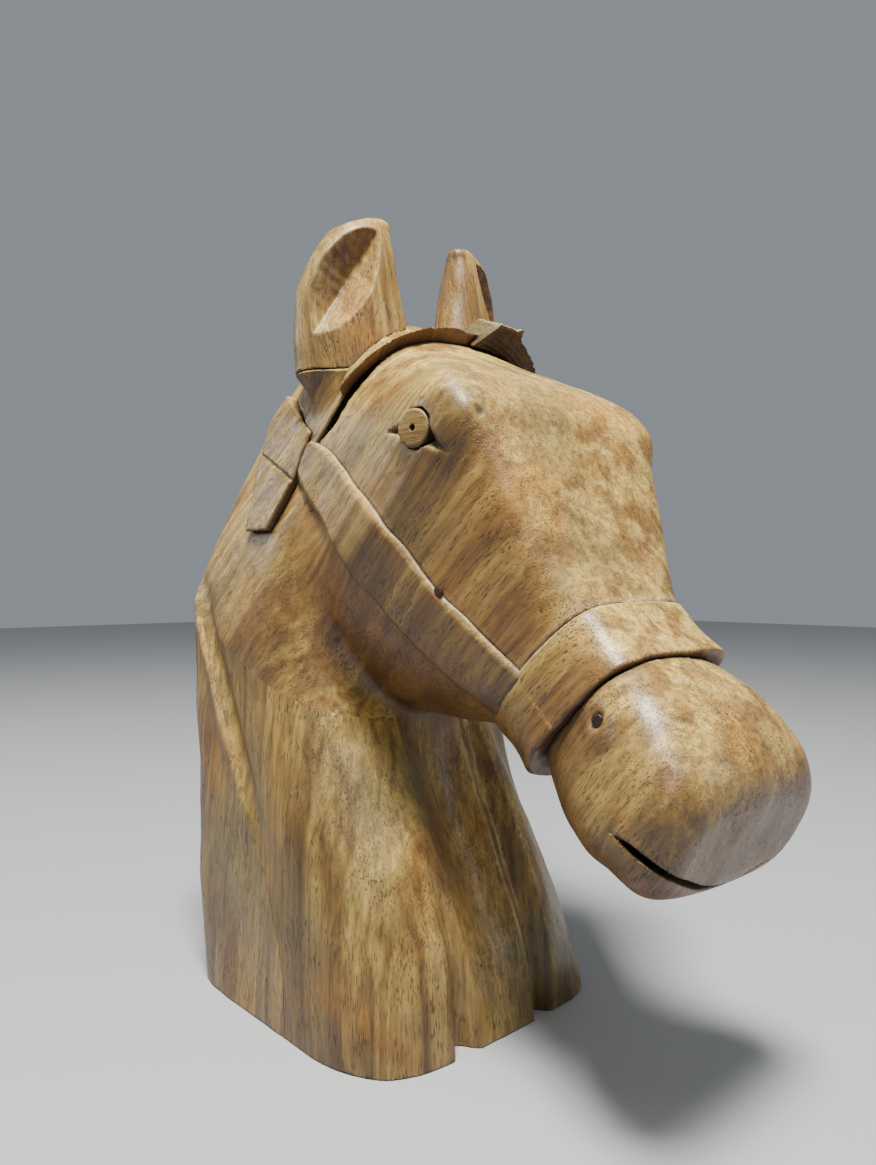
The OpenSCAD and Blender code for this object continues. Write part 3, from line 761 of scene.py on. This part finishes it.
# ---------------------------------------------------------------- wood and iron
def add(tree, kind, inputs=None, **settings):
    node = tree.nodes.new(kind)
    for name, value in settings.items():
        setattr(node, name, value)
    for socket, value in (inputs or {}).items():
        if isinstance(value, bpy.types.NodeSocket):
            tree.links.new(value, node.inputs[socket])
        else:
            node.inputs[socket].default_value = value
    return node


def mix(tree, how, amount, a, b):
    node = add(tree, "ShaderNodeMix", {0: amount, 6: a, 7: b}, data_type="RGBA", blend_type=how)
    return node.outputs[2]


def between(tree, value, low, high, to_low=0.0, to_high=1.0):
    node = add(tree, "ShaderNodeMapRange", {0: value, 1: low, 2: high, 3: to_low, 4: to_high})
    return node.outputs[0]


def maths(tree, how, a, b):
    return add(tree, "ShaderNodeMath", {0: a, 1: b}, operation=how).outputs[0]


def mark(tree, name):
    return add(tree, "ShaderNodeAttribute", attribute_name=name).outputs["Fac"]


def noise(tree, where, size, detail=3.0, rough=0.55, warp=0.0):
    """Noise with patches of about the given size in metres."""
    inputs = {"Vector": where, "Scale": 1 / size, "Detail": detail, "Roughness": rough, "Distortion": warp}
    return add(tree, "ShaderNodeTexNoise", inputs).outputs[0]


def shade(colour, factor=1.0):
    return (colour[0] * factor, colour[1] * factor, colour[2] * factor, 1.0)


# The argument before gloss sets how strongly hollows and creases are darkened, as painted shade that is
# partly old wax.
def wood(name, tilt, tone=1.0, pith=(0.02, 0.03, 0.0), seed=0.0, rawness=0.0, dirt_and_shade=0.75, gloss=0.44):
    """Waxed wood with its grain along the tilted Z axis; tilt is in degrees about X, Y and Z."""
    look = bpy.context.scene.carving_finish
    material = bpy.data.materials.new(name)
    material.use_nodes = True
    tree = material.node_tree
    shader = tree.nodes["Principled BSDF"]
    here = add(tree, "ShaderNodeTexCoord").outputs["Object"]
    turn = tuple(math.radians(a) for a in tilt)
    offset = (pith[0], pith[1], pith[2] + 0.37 * seed)
    grain = add(tree, "ShaderNodeMapping", {"Vector": here, "Rotation": turn, "Location": offset}).outputs[0]
    drift = noise(tree, grain, 0.07, 2.0)
    sway = add(tree, "ShaderNodeMapping", {"Vector": grain, "Scale": (1.0, 1.0, 0.22)}).outputs[0]
    wobble = add(tree, "ShaderNodeTexNoise", {"Vector": sway, "Scale": 26.0, "Detail": 2.0}).outputs[1]
    bent = add(tree, "ShaderNodeVectorMath", {0: wobble, 1: (0.014, 0.014, 0.0)}, operation="MULTIPLY")
    bent = add(tree, "ShaderNodeVectorMath", {0: sway, 1: bent.outputs[0]}, operation="ADD").outputs[0]
    rings = add(tree, "ShaderNodeTexWave", {
        "Vector": bent, "Scale": 0.314 / look.ring_gap, "Distortion": 2.2, "Detail": 3.0, "Detail Scale": 2.0,
    }, wave_type="RINGS", rings_direction="Z", wave_profile="SAW").outputs["Fac"]
    long_grain = add(tree, "ShaderNodeMapping", {"Vector": grain, "Scale": (1.0, 1.0, 0.05)}).outputs[0]
    streaks = noise(tree, long_grain, 0.0022, 4.0, 0.65, 0.3)
    wide_streaks = noise(tree, long_grain, 0.011, 2.0, 0.5, 0.5)
    pore_place = add(tree, "ShaderNodeMapping", {"Vector": grain, "Scale": (1.0, 1.0, 0.13)}).outputs[0]
    pores = noise(tree, pore_place, 0.00050, 1.0, 0.5)
    pores = between(tree, pores, 0.56, 0.66)
    clusters = between(tree, noise(tree, grain, 0.012, 2.0), 0.35, 0.62, 0.25, 1.0)
    pores = maths(tree, "MULTIPLY", pores, clusters)
    patches = noise(tree, grain, 0.055, 3.0, 0.6, 0.6)
    stains = noise(tree, here, 0.030, 4.0, 0.6, 1.0)
    recess, corner, raw_and_highlight = mark(tree, "recess"), mark(tree, "corner"), mark(tree, "raw_and_highlight")

    pale, golden, brown = shade(look.pale, tone), shade(look.golden, tone), shade(look.brown, tone)
    colour = mix(tree, "MIX", between(tree, rings, 0.0, 1.0, 0.15, 0.70), golden, pale)
    colour = mix(tree, "MIX", between(tree, wide_streaks, 0.42, 0.60, 0.0, 0.88), colour, brown)
    colour = mix(tree, "MIX", between(tree, patches, 0.50, 0.68, 0.0, 0.75), colour, shade(look.orange, tone))
    weathered = between(tree, drift, 0.50, 0.66, 0.0, 0.65)
    colour = mix(tree, "MIX", weathered, colour, shade(look.grey_green, tone))
    light_streak, dark_streak = (1.34, 1.30, 1.16, 1), (0.40, 0.33, 0.24, 1)
    streak_tint = mix(tree, "MIX", between(tree, streaks, 0.3, 0.72), light_streak, dark_streak)
    colour = mix(tree, "MULTIPLY", 1.0, colour, streak_tint)
    # Freshly cut colour, also laid on as a painted highlight along the mane ridge and on the forelock's top.
    raw_and_highlight_colour = mix(tree, "MIX", between(tree, streaks, 0.3, 0.7), shade(look.raw_and_highlight), shade(look.raw_and_highlight, 0.55))
    raw_and_highlight_amount = maths(tree, "MAXIMUM", raw_and_highlight, rawness) if rawness else raw_and_highlight
    colour = mix(tree, "MIX", raw_and_highlight_amount, colour, raw_and_highlight_colour)
    colour = mix(tree, "MIX", maths(tree, "MULTIPLY", pores, 0.85), colour, shade(look.pore))
    # Painted light: wood that faces up is lightened as a painted highlight, and wood that faces down is
    # darkened as painted shade.
    normal = add(tree, "ShaderNodeNewGeometry").outputs["Normal"]
    facing = add(tree, "ShaderNodeSeparateXYZ", {0: normal}).outputs[2]
    lit = between(tree, facing, -0.45, 0.80)
    painted_facing_light = mix(tree, "MIX", lit, shade(look.underside_shade), (1.38, 1.45, 1.16, 1))
    colour = mix(tree, "MULTIPLY", 1.0, colour, painted_facing_light)
    # Painted shade: the wood is darker towards the base.
    above_base = add(tree, "ShaderNodeSeparateXYZ", {0: here}).outputs[2]
    colour = mix(tree, "MULTIPLY", 1.0, colour, between(tree, above_base, 0.09, 0.21, look.base_shade, 1.05))
    dark_spots = between(tree, stains, 0.66, 0.74, 0.0, 0.45)
    colour = mix(tree, "MIX", dark_spots, colour, shade(look.brown, 0.35))
    # Painted shade: hollows are darkened towards near black, partly old wax.
    uneven = between(tree, stains, 0.3, 0.7, 0.65, 1.15)
    grime_and_shade = maths(tree, "MULTIPLY", between(tree, recess, 0.30, 0.92), uneven)
    colour = mix(tree, "MIX", maths(tree, "MULTIPLY", grime_and_shade, dirt_and_shade), colour, shade(look.grime_and_shade, 2.0))
    # Painted shade in narrow creases, cuts and joints, partly old wax. It is kept light on freshly cut wood.
    crack = between(tree, corner, 0.52, 0.95, 0.0, min(1.0, dirt_and_shade + 0.15))
    crease_shade_and_wax = maths(tree, "MULTIPLY", crack, between(tree, raw_and_highlight, 0.2, 0.6, 1.0, 0.15))
    colour = mix(tree, "MIX", crease_shade_and_wax, colour, shade(look.grime_and_shade))
    tree.links.new(colour, shader.inputs["Base Color"])

    polish = maths(tree, "ADD", between(tree, patches, 0.3, 0.7, gloss - 0.06, gloss + 0.10),
                   maths(tree, "MULTIPLY", maths(tree, "MAXIMUM", grime_and_shade, raw_and_highlight), 0.28))
    polish = maths(tree, "ADD", polish, maths(tree, "MULTIPLY", pores, 0.2))
    tree.links.new(polish, shader.inputs["Roughness"])
    shader.inputs["Specular IOR Level"].default_value = 0.42
    shader.inputs["Coat Weight"].default_value = look.wax
    shader.inputs["Coat Roughness"].default_value = 0.30
    height = maths(tree, "SUBTRACT", maths(tree, "MULTIPLY", streaks, 0.40), pores)
    scratches = add(tree, "ShaderNodeMapping", {"Vector": here, "Rotation": (0.5, 0.3, 0.9),
                                                "Scale": (1.0, 0.04, 1.0)}).outputs[0]
    height = maths(tree, "ADD", height, maths(tree, "MULTIPLY", noise(tree, scratches, 0.0011, 2.0), 0.35))
    bump_up = add(tree, "ShaderNodeBump", {"Strength": 0.55, "Distance": look.pore_depth, "Height": height})
    tree.links.new(bump_up.outputs[0], shader.inputs["Normal"])
    return material


def iron(name):
    """Dull, rusty nail iron."""
    look = bpy.context.scene.carving_finish
    material = bpy.data.materials.new(name)
    material.use_nodes = True
    tree = material.node_tree
    shader = tree.nodes["Principled BSDF"]
    here = add(tree, "ShaderNodeTexCoord").outputs["Object"]
    rust = noise(tree, here, 0.0012, 4.0, 0.6)
    colour = mix(tree, "MIX", between(tree, rust, 0.4, 0.65), (0.022, 0.021, 0.024, 1), shade(look.rust))
    tree.links.new(colour, shader.inputs["Base Color"])
    tree.links.new(between(tree, rust, 0.3, 0.7, 0.35, 0.75), shader.inputs["Roughness"])
    shader.inputs["Metallic"].default_value = 0.7
    bump_up = add(tree, "ShaderNodeBump", {"Strength": 0.6, "Distance": 0.0003, "Height": rust})
    tree.links.new(bump_up.outputs[0], shader.inputs["Normal"])
    return material


def dress(piece, material):
    piece.data.materials.clear()
    piece.data.materials.append(material)


# ---------------------------------------------------------------- settings a carver would set
class CarvingSettings(bpy.types.PropertyGroup):
    """How finely the blocks and the bridle are worked."""
    block_step: FloatProperty(name="Block cut", description="Spacing of the cuts on the big blocks, in mm",
                              default=1.05, min=0.6, max=4.0)
    muzzle_step: FloatProperty(name="Muzzle cut", description="Spacing of the cuts on the muzzle, in mm",
                               default=0.72, min=0.5, max=4.0)
    bridle_step: FloatProperty(name="Bridle cut", description="Spacing of the cuts on the bridle, in mm",
                               default=0.62, min=0.4, max=3.0)
    eye_step: FloatProperty(name="Eye cut", description="Spacing of the cuts on the eye plugs, in mm",
                            default=0.34, min=0.2, max=1.0)


class FinishSettings(bpy.types.PropertyGroup):
    """Colours and wear of the waxed wood, with the painted shade and highlights laid into it."""
    pale: FloatVectorProperty(name="Pale wood", description="Early wood of a ring", subtype="COLOR",
                              default=(0.58, 0.42, 0.165), min=0, max=1)
    golden: FloatVectorProperty(name="Golden wood", description="Late wood of a ring", subtype="COLOR",
                                default=(0.37, 0.235, 0.075), min=0, max=1)
    brown: FloatVectorProperty(name="Brown wood", description="Broad brown streaks", subtype="COLOR",
                               default=(0.185, 0.092, 0.026), min=0, max=1)
    orange: FloatVectorProperty(name="Orange patches", description="Patches rich in wax", subtype="COLOR",
                                default=(0.45, 0.225, 0.045), min=0, max=1)
    grey_green: FloatVectorProperty(name="Grey patches", description="Weathered patches", subtype="COLOR",
                                    default=(0.20, 0.165, 0.072), min=0, max=1)
    # Colour of freshly cut edges, also painted on as a highlight.
    raw_and_highlight: FloatVectorProperty(name="Raw wood", description="Freshly cut edges", subtype="COLOR",
                             default=(0.62, 0.44, 0.27), min=0, max=1)
    pore: FloatVectorProperty(name="Pores", description="Short dark pores", subtype="COLOR",
                              default=(0.070, 0.034, 0.012), min=0, max=1)
    # Painted shade for wood that faces down.
    underside_shade: FloatVectorProperty(name="Undersides", description="Tint of wood facing down", subtype="COLOR",
                                   default=(0.37, 0.26, 0.15), min=0, max=1)
    # Near-black colour of the painted shade in hollows and creases, partly old wax.
    grime_and_shade: FloatVectorProperty(name="Grime", description="Old wax and dirt in recesses", subtype="COLOR",
                               default=(0.020, 0.009, 0.003), min=0, max=1)
    rust: FloatVectorProperty(name="Rust", description="Rust on the nails", subtype="COLOR",
                              default=(0.075, 0.028, 0.010), min=0, max=1)
    # Painted shade towards the base.
    base_shade: FloatProperty(name="Lower tone", description="Tone of the wood toward the base",
                            default=0.66, min=0, max=2)
    ring_gap: FloatProperty(name="Ring gap", description="Distance between year rings",
                            default=0.008, min=0.001, max=0.05, unit="LENGTH")
    pore_depth: FloatProperty(name="Pore depth", description="Depth of the open pores",
                              default=0.0004, min=0, max=0.002, unit="LENGTH")
    wax: FloatProperty(name="Wax", description="Thickness of the wax polish", default=0.22, min=0, max=1)


class StageSettings(bpy.types.PropertyGroup):
    """Camera and studio light."""
    camera_place: FloatVectorProperty(name="Camera place", description="Where the camera stands",
                                      default=(-0.2221, -0.2672, 0.162), subtype="TRANSLATION", unit="LENGTH")
    camera_turn: FloatProperty(name="Camera turn", description="Turn of the level camera about Z",
                               default=math.radians(-42), subtype="ANGLE", unit="ROTATION")
    lens: FloatProperty(name="Lens", description="Focal length in mm", default=26.27, min=10, max=200)
    key_power: FloatProperty(name="Key light", description="Power of the key light in watts",
                             default=38.0, min=0, unit="POWER")
    side_power: FloatProperty(name="Side light", description="Power of the light behind the mane in watts",
                              default=3.4, min=0, unit="POWER")
    fill_power: FloatProperty(name="Fill light", description="Power of the fill light in watts",
                              default=2.4, min=0, unit="POWER")
    sky: FloatProperty(name="Surroundings", description="Brightness of the surroundings",
                       default=0.32, min=0, max=5)
    floor_size: FloatProperty(name="Floor size", description="Width of the floor",
                              default=6.0, min=1, unit="LENGTH")


# ---------------------------------------------------------------- operators, one for each kind of piece
class CARVING_OT_neck(bpy.types.Operator):
    """Carve the neck block and the mane board behind it"""
    bl_idname = "carving.neck"
    bl_label = "Carve neck and mane"

    def execute(self, context):
        step_size = context.scene.carving_work.block_step

        # Painted highlight along the ridge in front of the mane board, laid on with the freshly cut colour.
        def bright(x, y, z):
            return 0.5 * np.exp(-((mane_side(y, z) - 1.5) / 1.6) ** 2) * step(70, 110, z)
        neck = carve("neck_block", neck_block_field, (-72, -70, -6), (72, 86, 156), step_size,
                     surface=worn_body, joints=(neck_to_mane, under_seat))
        dress(neck, wood("neck wood", (4, -3, 0), 0.95, (0.035, -0.02, 0), 1.0))
        mane = carve("mane_board", mane_board_field, (-72, -18, -6), (72, 92, 164), step_size,
                     bright, worn_body, (mane_to_neck, under_seat))
        dress(mane, wood("mane wood", (-6, 2, 0), 1.25, (0.05, 0.05, 0), 2.0))
        return {"FINISHED"}


class CARVING_OT_head(bpy.types.Operator):
    """Carve the head block with its pockets for the bridle, the ears and the eyes"""
    bl_idname = "carving.head"
    bl_label = "Carve head"

    def execute(self, context):
        step_size = context.scene.carving_work.block_step

        def bright(x, y, z):
            s, v = head_frame(y, z)
            line = np.exp(-((v - curve(CHEEK_HIGH, s) - 0.9) / 0.7) ** 2) * step(14, 22, s) * (s < 134)
            line = line * (0.75 + 0.35 * ripple(x, y, z, 9)) + 0.5 * np.exp(-((s - 132.5) / 0.9) ** 2)
            back, up, out = eye_frame(-np.abs(x), y, z)
            r = np.hypot(back, up)
            corner = step(-0.3, -0.9, body_field(x, y, z)) * (r > 7.2) * (r < 18) * (out > -8)
            return np.maximum(line, 0.6 * corner)
        head = carve("head_block", head_block_field, (-66, -120, 92), (66, 92, 268), step_size,
                     bright, worn_body, (over_seat,))
        dress(head, wood("head wood", (-HEAD_DIP, 0, 0), 1.04, (0.03, 0.02, 0), 3.0))
        return {"FINISHED"}


class CARVING_OT_muzzle(bpy.types.Operator):
    """Carve the muzzle block with the cut between its lips"""
    bl_idname = "carving.muzzle"
    bl_label = "Carve muzzle"

    def execute(self, context):
        muzzle = carve("muzzle_block", muzzle_block_field, (-48, -168, 64), (48, -90, 160),
                       context.scene.carving_work.muzzle_step)
        dress(muzzle, wood("muzzle wood", (-40, 12, 0), 1.12, (0.01, 0.06, 0), 4.0, gloss=0.42))
        return {"FINISHED"}


class CARVING_OT_bridle(bpy.types.Operator):
    """Carve the noseband, the browband, the cheek straps and the slats behind them"""
    bl_idname = "carving.bridle"
    bl_label = "Carve bridle"

    def execute(self, context):
        step_size = context.scene.carving_work.bridle_step

        def strap_edge(x, y, z):
            s, v = head_frame(y, z)
            return 0.5 * np.exp(-((v - curve(CHEEK_HIGH, s) + 0.2) / 0.6) ** 2)

        def band_edge(x, y, z):
            s, v = head_frame(y, z)
            return 0.6 * np.exp(-((s - BAND_FROM - 0.3) / 0.7) ** 2)
        strap = wood("strap wood", (-HEAD_DIP, 0, 0), 0.86, (0.0, 0.04, 0), 5.0)
        noseband = carve("noseband", noseband_form, (-48, -146, 70), (48, -72, 168), step_size,
                         band_edge)
        dress(noseband, wood("noseband wood", (-HEAD_DIP, 0, 90), 1.25, (0.05, 0.0, 0), 6.0))
        browband = carve("browband", browband_field, (-60, -52, 196), (60, 26, 274), step_size)
        dress(browband, strap)
        for side, sign in (("right", -1), ("left", 1)):
            def one_side(x, y, z):
                return np.maximum(strap_clear_of_slat(x, y, z), 8 - sign * x)

            def cleared(x, y, z):
                return np.maximum(slat(x, y, z), PLAY - browband_field(x, y, z))
            low, high = sorted((sign * 20, sign * 62))
            piece = carve("cheek_strap_" + side, one_side, (low, -128, 110), (high, 4, 232), step_size,
                          strap_edge)
            dress(piece, strap)
            slat = slat_field if sign < 0 else mirrored(slat_field)
            low, high = sorted((sign * 26, sign * 60))
            piece = carve("mane_slat_" + side, cleared, (low, -12, 176), (high, 40, 242), step_size)
            dress(piece, strap)
        return {"FINISHED"}


class CARVING_OT_forelock(bpy.types.Operator):
    """Break the splintered forelock out of its strip of wood"""
    bl_idname = "carving.forelock"
    bl_label = "Carve forelock"

    def execute(self, context):
        # Painted highlight on the top face of the splinters.
        def top_light(x, y, z):
            return 0.55 * step(7.4, 8.6, body_field(x, y, z))
        piece = carve("forelock", forelock_field, (-2, -54, 222), (54, 10, 276),
                      0.8 * context.scene.carving_work.bridle_step, top_light)
        dress(piece, wood("splintered wood", (90, 0, 20), 0.30, (0.0, 0.0, 0), 7.0, gloss=0.7))
        return {"FINISHED"}


class CARVING_OT_ears(bpy.types.Operator):
    """Carve both hollow ears"""
    bl_idname = "carving.ears"
    bl_label = "Carve ears"

    def execute(self, context):
        material = wood("ear wood", (8, 4, 0), 0.92, (0.045, 0.02, 0), 8.0)
        for side, field, low, high in (
            ("right", ear_field, -60, -8), ("left", mirrored(ear_field), 8, 60),
        ):
            piece = carve("ear_" + side, field, (low, -30, 236), (high, 22, 304),
                          context.scene.carving_work.bridle_step)
            dress(piece, material)
        return {"FINISHED"}


class CARVING_OT_eyes(bpy.types.Operator):
    """Turn the eye plugs with their pinholes"""
    bl_idname = "carving.eyes"
    bl_label = "Make eyes"

    def execute(self, context):
        material = wood("eye wood", (90, 10, 0), 0.85, (0.0, 0.01, 0), 9.0, dirt_and_shade=0.5)
        for side, field, low, high in (
            ("right", eye_plug, -54, -36), ("left", left_eye_plug, 46, 64),
        ):
            piece = carve("eye_" + side, field, (low, -74, 200), (high, -54, 220),
                          context.scene.carving_work.eye_step)
            dress(piece, material)
        return {"FINISHED"}


class CARVING_OT_nails(bpy.types.Operator):
    """Drive the nails that hold the bridle"""
    bl_idname = "carving.nails"
    bl_label = "Drive nails"

    def execute(self, context):
        verts, faces = [], []
        for sign in (-1, 1):
            for x, y, z, left_out in NAILS:
                out = -x + (left_out if sign > 0 else 0)
                top, tip, first = len(verts), len(verts) + 1, len(verts) + 2
                verts += [(sign * out, y, z), (sign * (out - NAIL_LENGTH), y, z)]
                for depth, r in NAIL_RINGS:
                    for k in range(NAIL_POINTS):
                        a = 2 * math.pi * k / NAIL_POINTS
                        verts.append((sign * (out - depth), y + r * math.cos(a), z + r * math.sin(a)))
                last = first + (len(NAIL_RINGS) - 1) * NAIL_POINTS
                sides = []
                for k in range(NAIL_POINTS):
                    after = (k + 1) % NAIL_POINTS
                    sides += [(top, first + k, first + after), (tip, last + after, last + k)]
                    for ring in range(first, last, NAIL_POINTS):
                        deeper = ring + NAIL_POINTS
                        sides.append((ring + k, deeper + k, deeper + after, ring + after))
                faces += [side if sign > 0 else side[::-1] for side in sides]
        mesh = bpy.data.meshes.new("nails")
        mesh.from_pydata((np.array(verts) * MM).tolist(), [], faces)
        mesh.shade_smooth()
        piece = bpy.data.objects.new("nails", mesh)
        context.scene.collection.objects.link(piece)
        place_piece(piece, "nails")
        dress(piece, iron("nail iron"))
        return {"FINISHED"}


class CARVING_OT_dowels(bpy.types.Operator):
    """Give the hidden dowels and pegs their turned wood"""
    bl_idname = "carving.dowels"
    bl_label = "Finish dowels"

    def execute(self, context):
        material = wood("dowel wood", (0, 0, 0), 1.0, (0.0, 0.0, 0), 10.0, rawness=0.6, dirt_and_shade=0.0, gloss=0.6)
        for name in ("neck_dowels", "mane_dowels", "muzzle_dowel", "ear_pegs"):
            dress(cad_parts[name], material)
        return {"FINISHED"}


class CARVING_OT_stage(bpy.types.Operator):
    """Set the floor, the lights and the camera"""
    bl_idname = "carving.stage"
    bl_label = "Set stage"

    def execute(self, context):
        stage = context.scene.carving_stage
        half = stage.floor_size / 2
        mesh = bpy.data.meshes.new("floor")
        corners = [(-half, -half, 0), (half, -half, 0), (half, half, 0), (-half, half, 0)]
        mesh.from_pydata(corners, [], [(0, 1, 2, 3)])
        floor = bpy.data.objects.new("floor", mesh)
        context.scene.collection.objects.link(floor)
        material = bpy.data.materials.new("pale floor")
        material.use_nodes = True
        shader = material.node_tree.nodes["Principled BSDF"]
        shader.inputs["Base Color"].default_value = (0.44, 0.44, 0.435, 1)
        shader.inputs["Roughness"].default_value = 0.7
        dress(floor, material)
        for name, place, aim, size, power in (
            ("key light", (-0.30, -0.34, 1.20), (0, -0.03, 0.15), 0.28, stage.key_power),
            ("side light", (-0.72, 1.00, 0.62), (0, 0, 0.15), 0.35, stage.side_power),
            ("fill light", (0.60, -1.05, 0.45), (0.02, -0.03, 0.08), 0.5, stage.fill_power),
        ):
            lamp = bpy.data.lights.new(name, "AREA")
            lamp.size = size
            lamp.energy = power
            light = bpy.data.objects.new(name, lamp)
            light.location = place
            way = Vector(aim) - Vector(place)
            light.rotation_euler = way.to_track_quat("-Z", "Y").to_euler()
            context.scene.collection.objects.link(light)
        world = bpy.data.worlds.new("pale room")
        world.use_nodes = True
        background = world.node_tree.nodes["Background"]
        background.inputs["Color"].default_value = (0.80, 0.88, 0.95, 1)
        background.inputs["Strength"].default_value = stage.sky
        context.scene.world = world
        lens = bpy.data.cameras.new("camera")
        lens.lens = stage.lens
        lens.sensor_width = 36
        camera = bpy.data.objects.new("camera", lens)
        camera.location = stage.camera_place
        camera.rotation_euler = (math.radians(90), 0, stage.camera_turn)
        context.scene.collection.objects.link(camera)
        context.scene.camera = camera
        return {"FINISHED"}


class CARVING_PT_panel(bpy.types.Panel):
    """Settings and steps of the carving"""
    bl_idname = "CARVING_PT_panel"
    bl_label = "Carved Horse Head"
    bl_space_type = "VIEW_3D"
    bl_region_type = "UI"
    bl_category = "Carving"

    def draw(self, context):
        for group in (context.scene.carving_work, context.scene.carving_finish, context.scene.carving_stage):
            box = self.layout.box()
            for name in group.__annotations__:
                box.prop(group, name)
        for operator in OPERATORS:
            self.layout.operator(operator.bl_idname)


OPERATORS = (CARVING_OT_neck, CARVING_OT_head, CARVING_OT_muzzle, CARVING_OT_bridle, CARVING_OT_forelock,
             CARVING_OT_ears, CARVING_OT_eyes, CARVING_OT_nails, CARVING_OT_dowels, CARVING_OT_stage)
CLASSES = (CarvingSettings, FinishSettings, StageSettings) + OPERATORS + (CARVING_PT_panel,)


def register():
    for cls in CLASSES:
        bpy.utils.register_class(cls)
    bpy.types.Scene.carving_work = PointerProperty(type=CarvingSettings)
    bpy.types.Scene.carving_finish = PointerProperty(type=FinishSettings)
    bpy.types.Scene.carving_stage = PointerProperty(type=StageSettings)


def unregister():
    del bpy.types.Scene.carving_stage
    del bpy.types.Scene.carving_finish
    del bpy.types.Scene.carving_work
    for cls in reversed(CLASSES):
        bpy.utils.unregister_class(cls)


def main():
    register()
    bpy.ops.carving.neck()
    bpy.ops.carving.head()
    bpy.ops.carving.muzzle()
    bpy.ops.carving.bridle()
    bpy.ops.carving.forelock()
    bpy.ops.carving.ears()
    bpy.ops.carving.eyes()
    bpy.ops.carving.nails()
    bpy.ops.carving.dowels()
    bpy.ops.carving.stage()


if __name__ == "__main__":
    main()
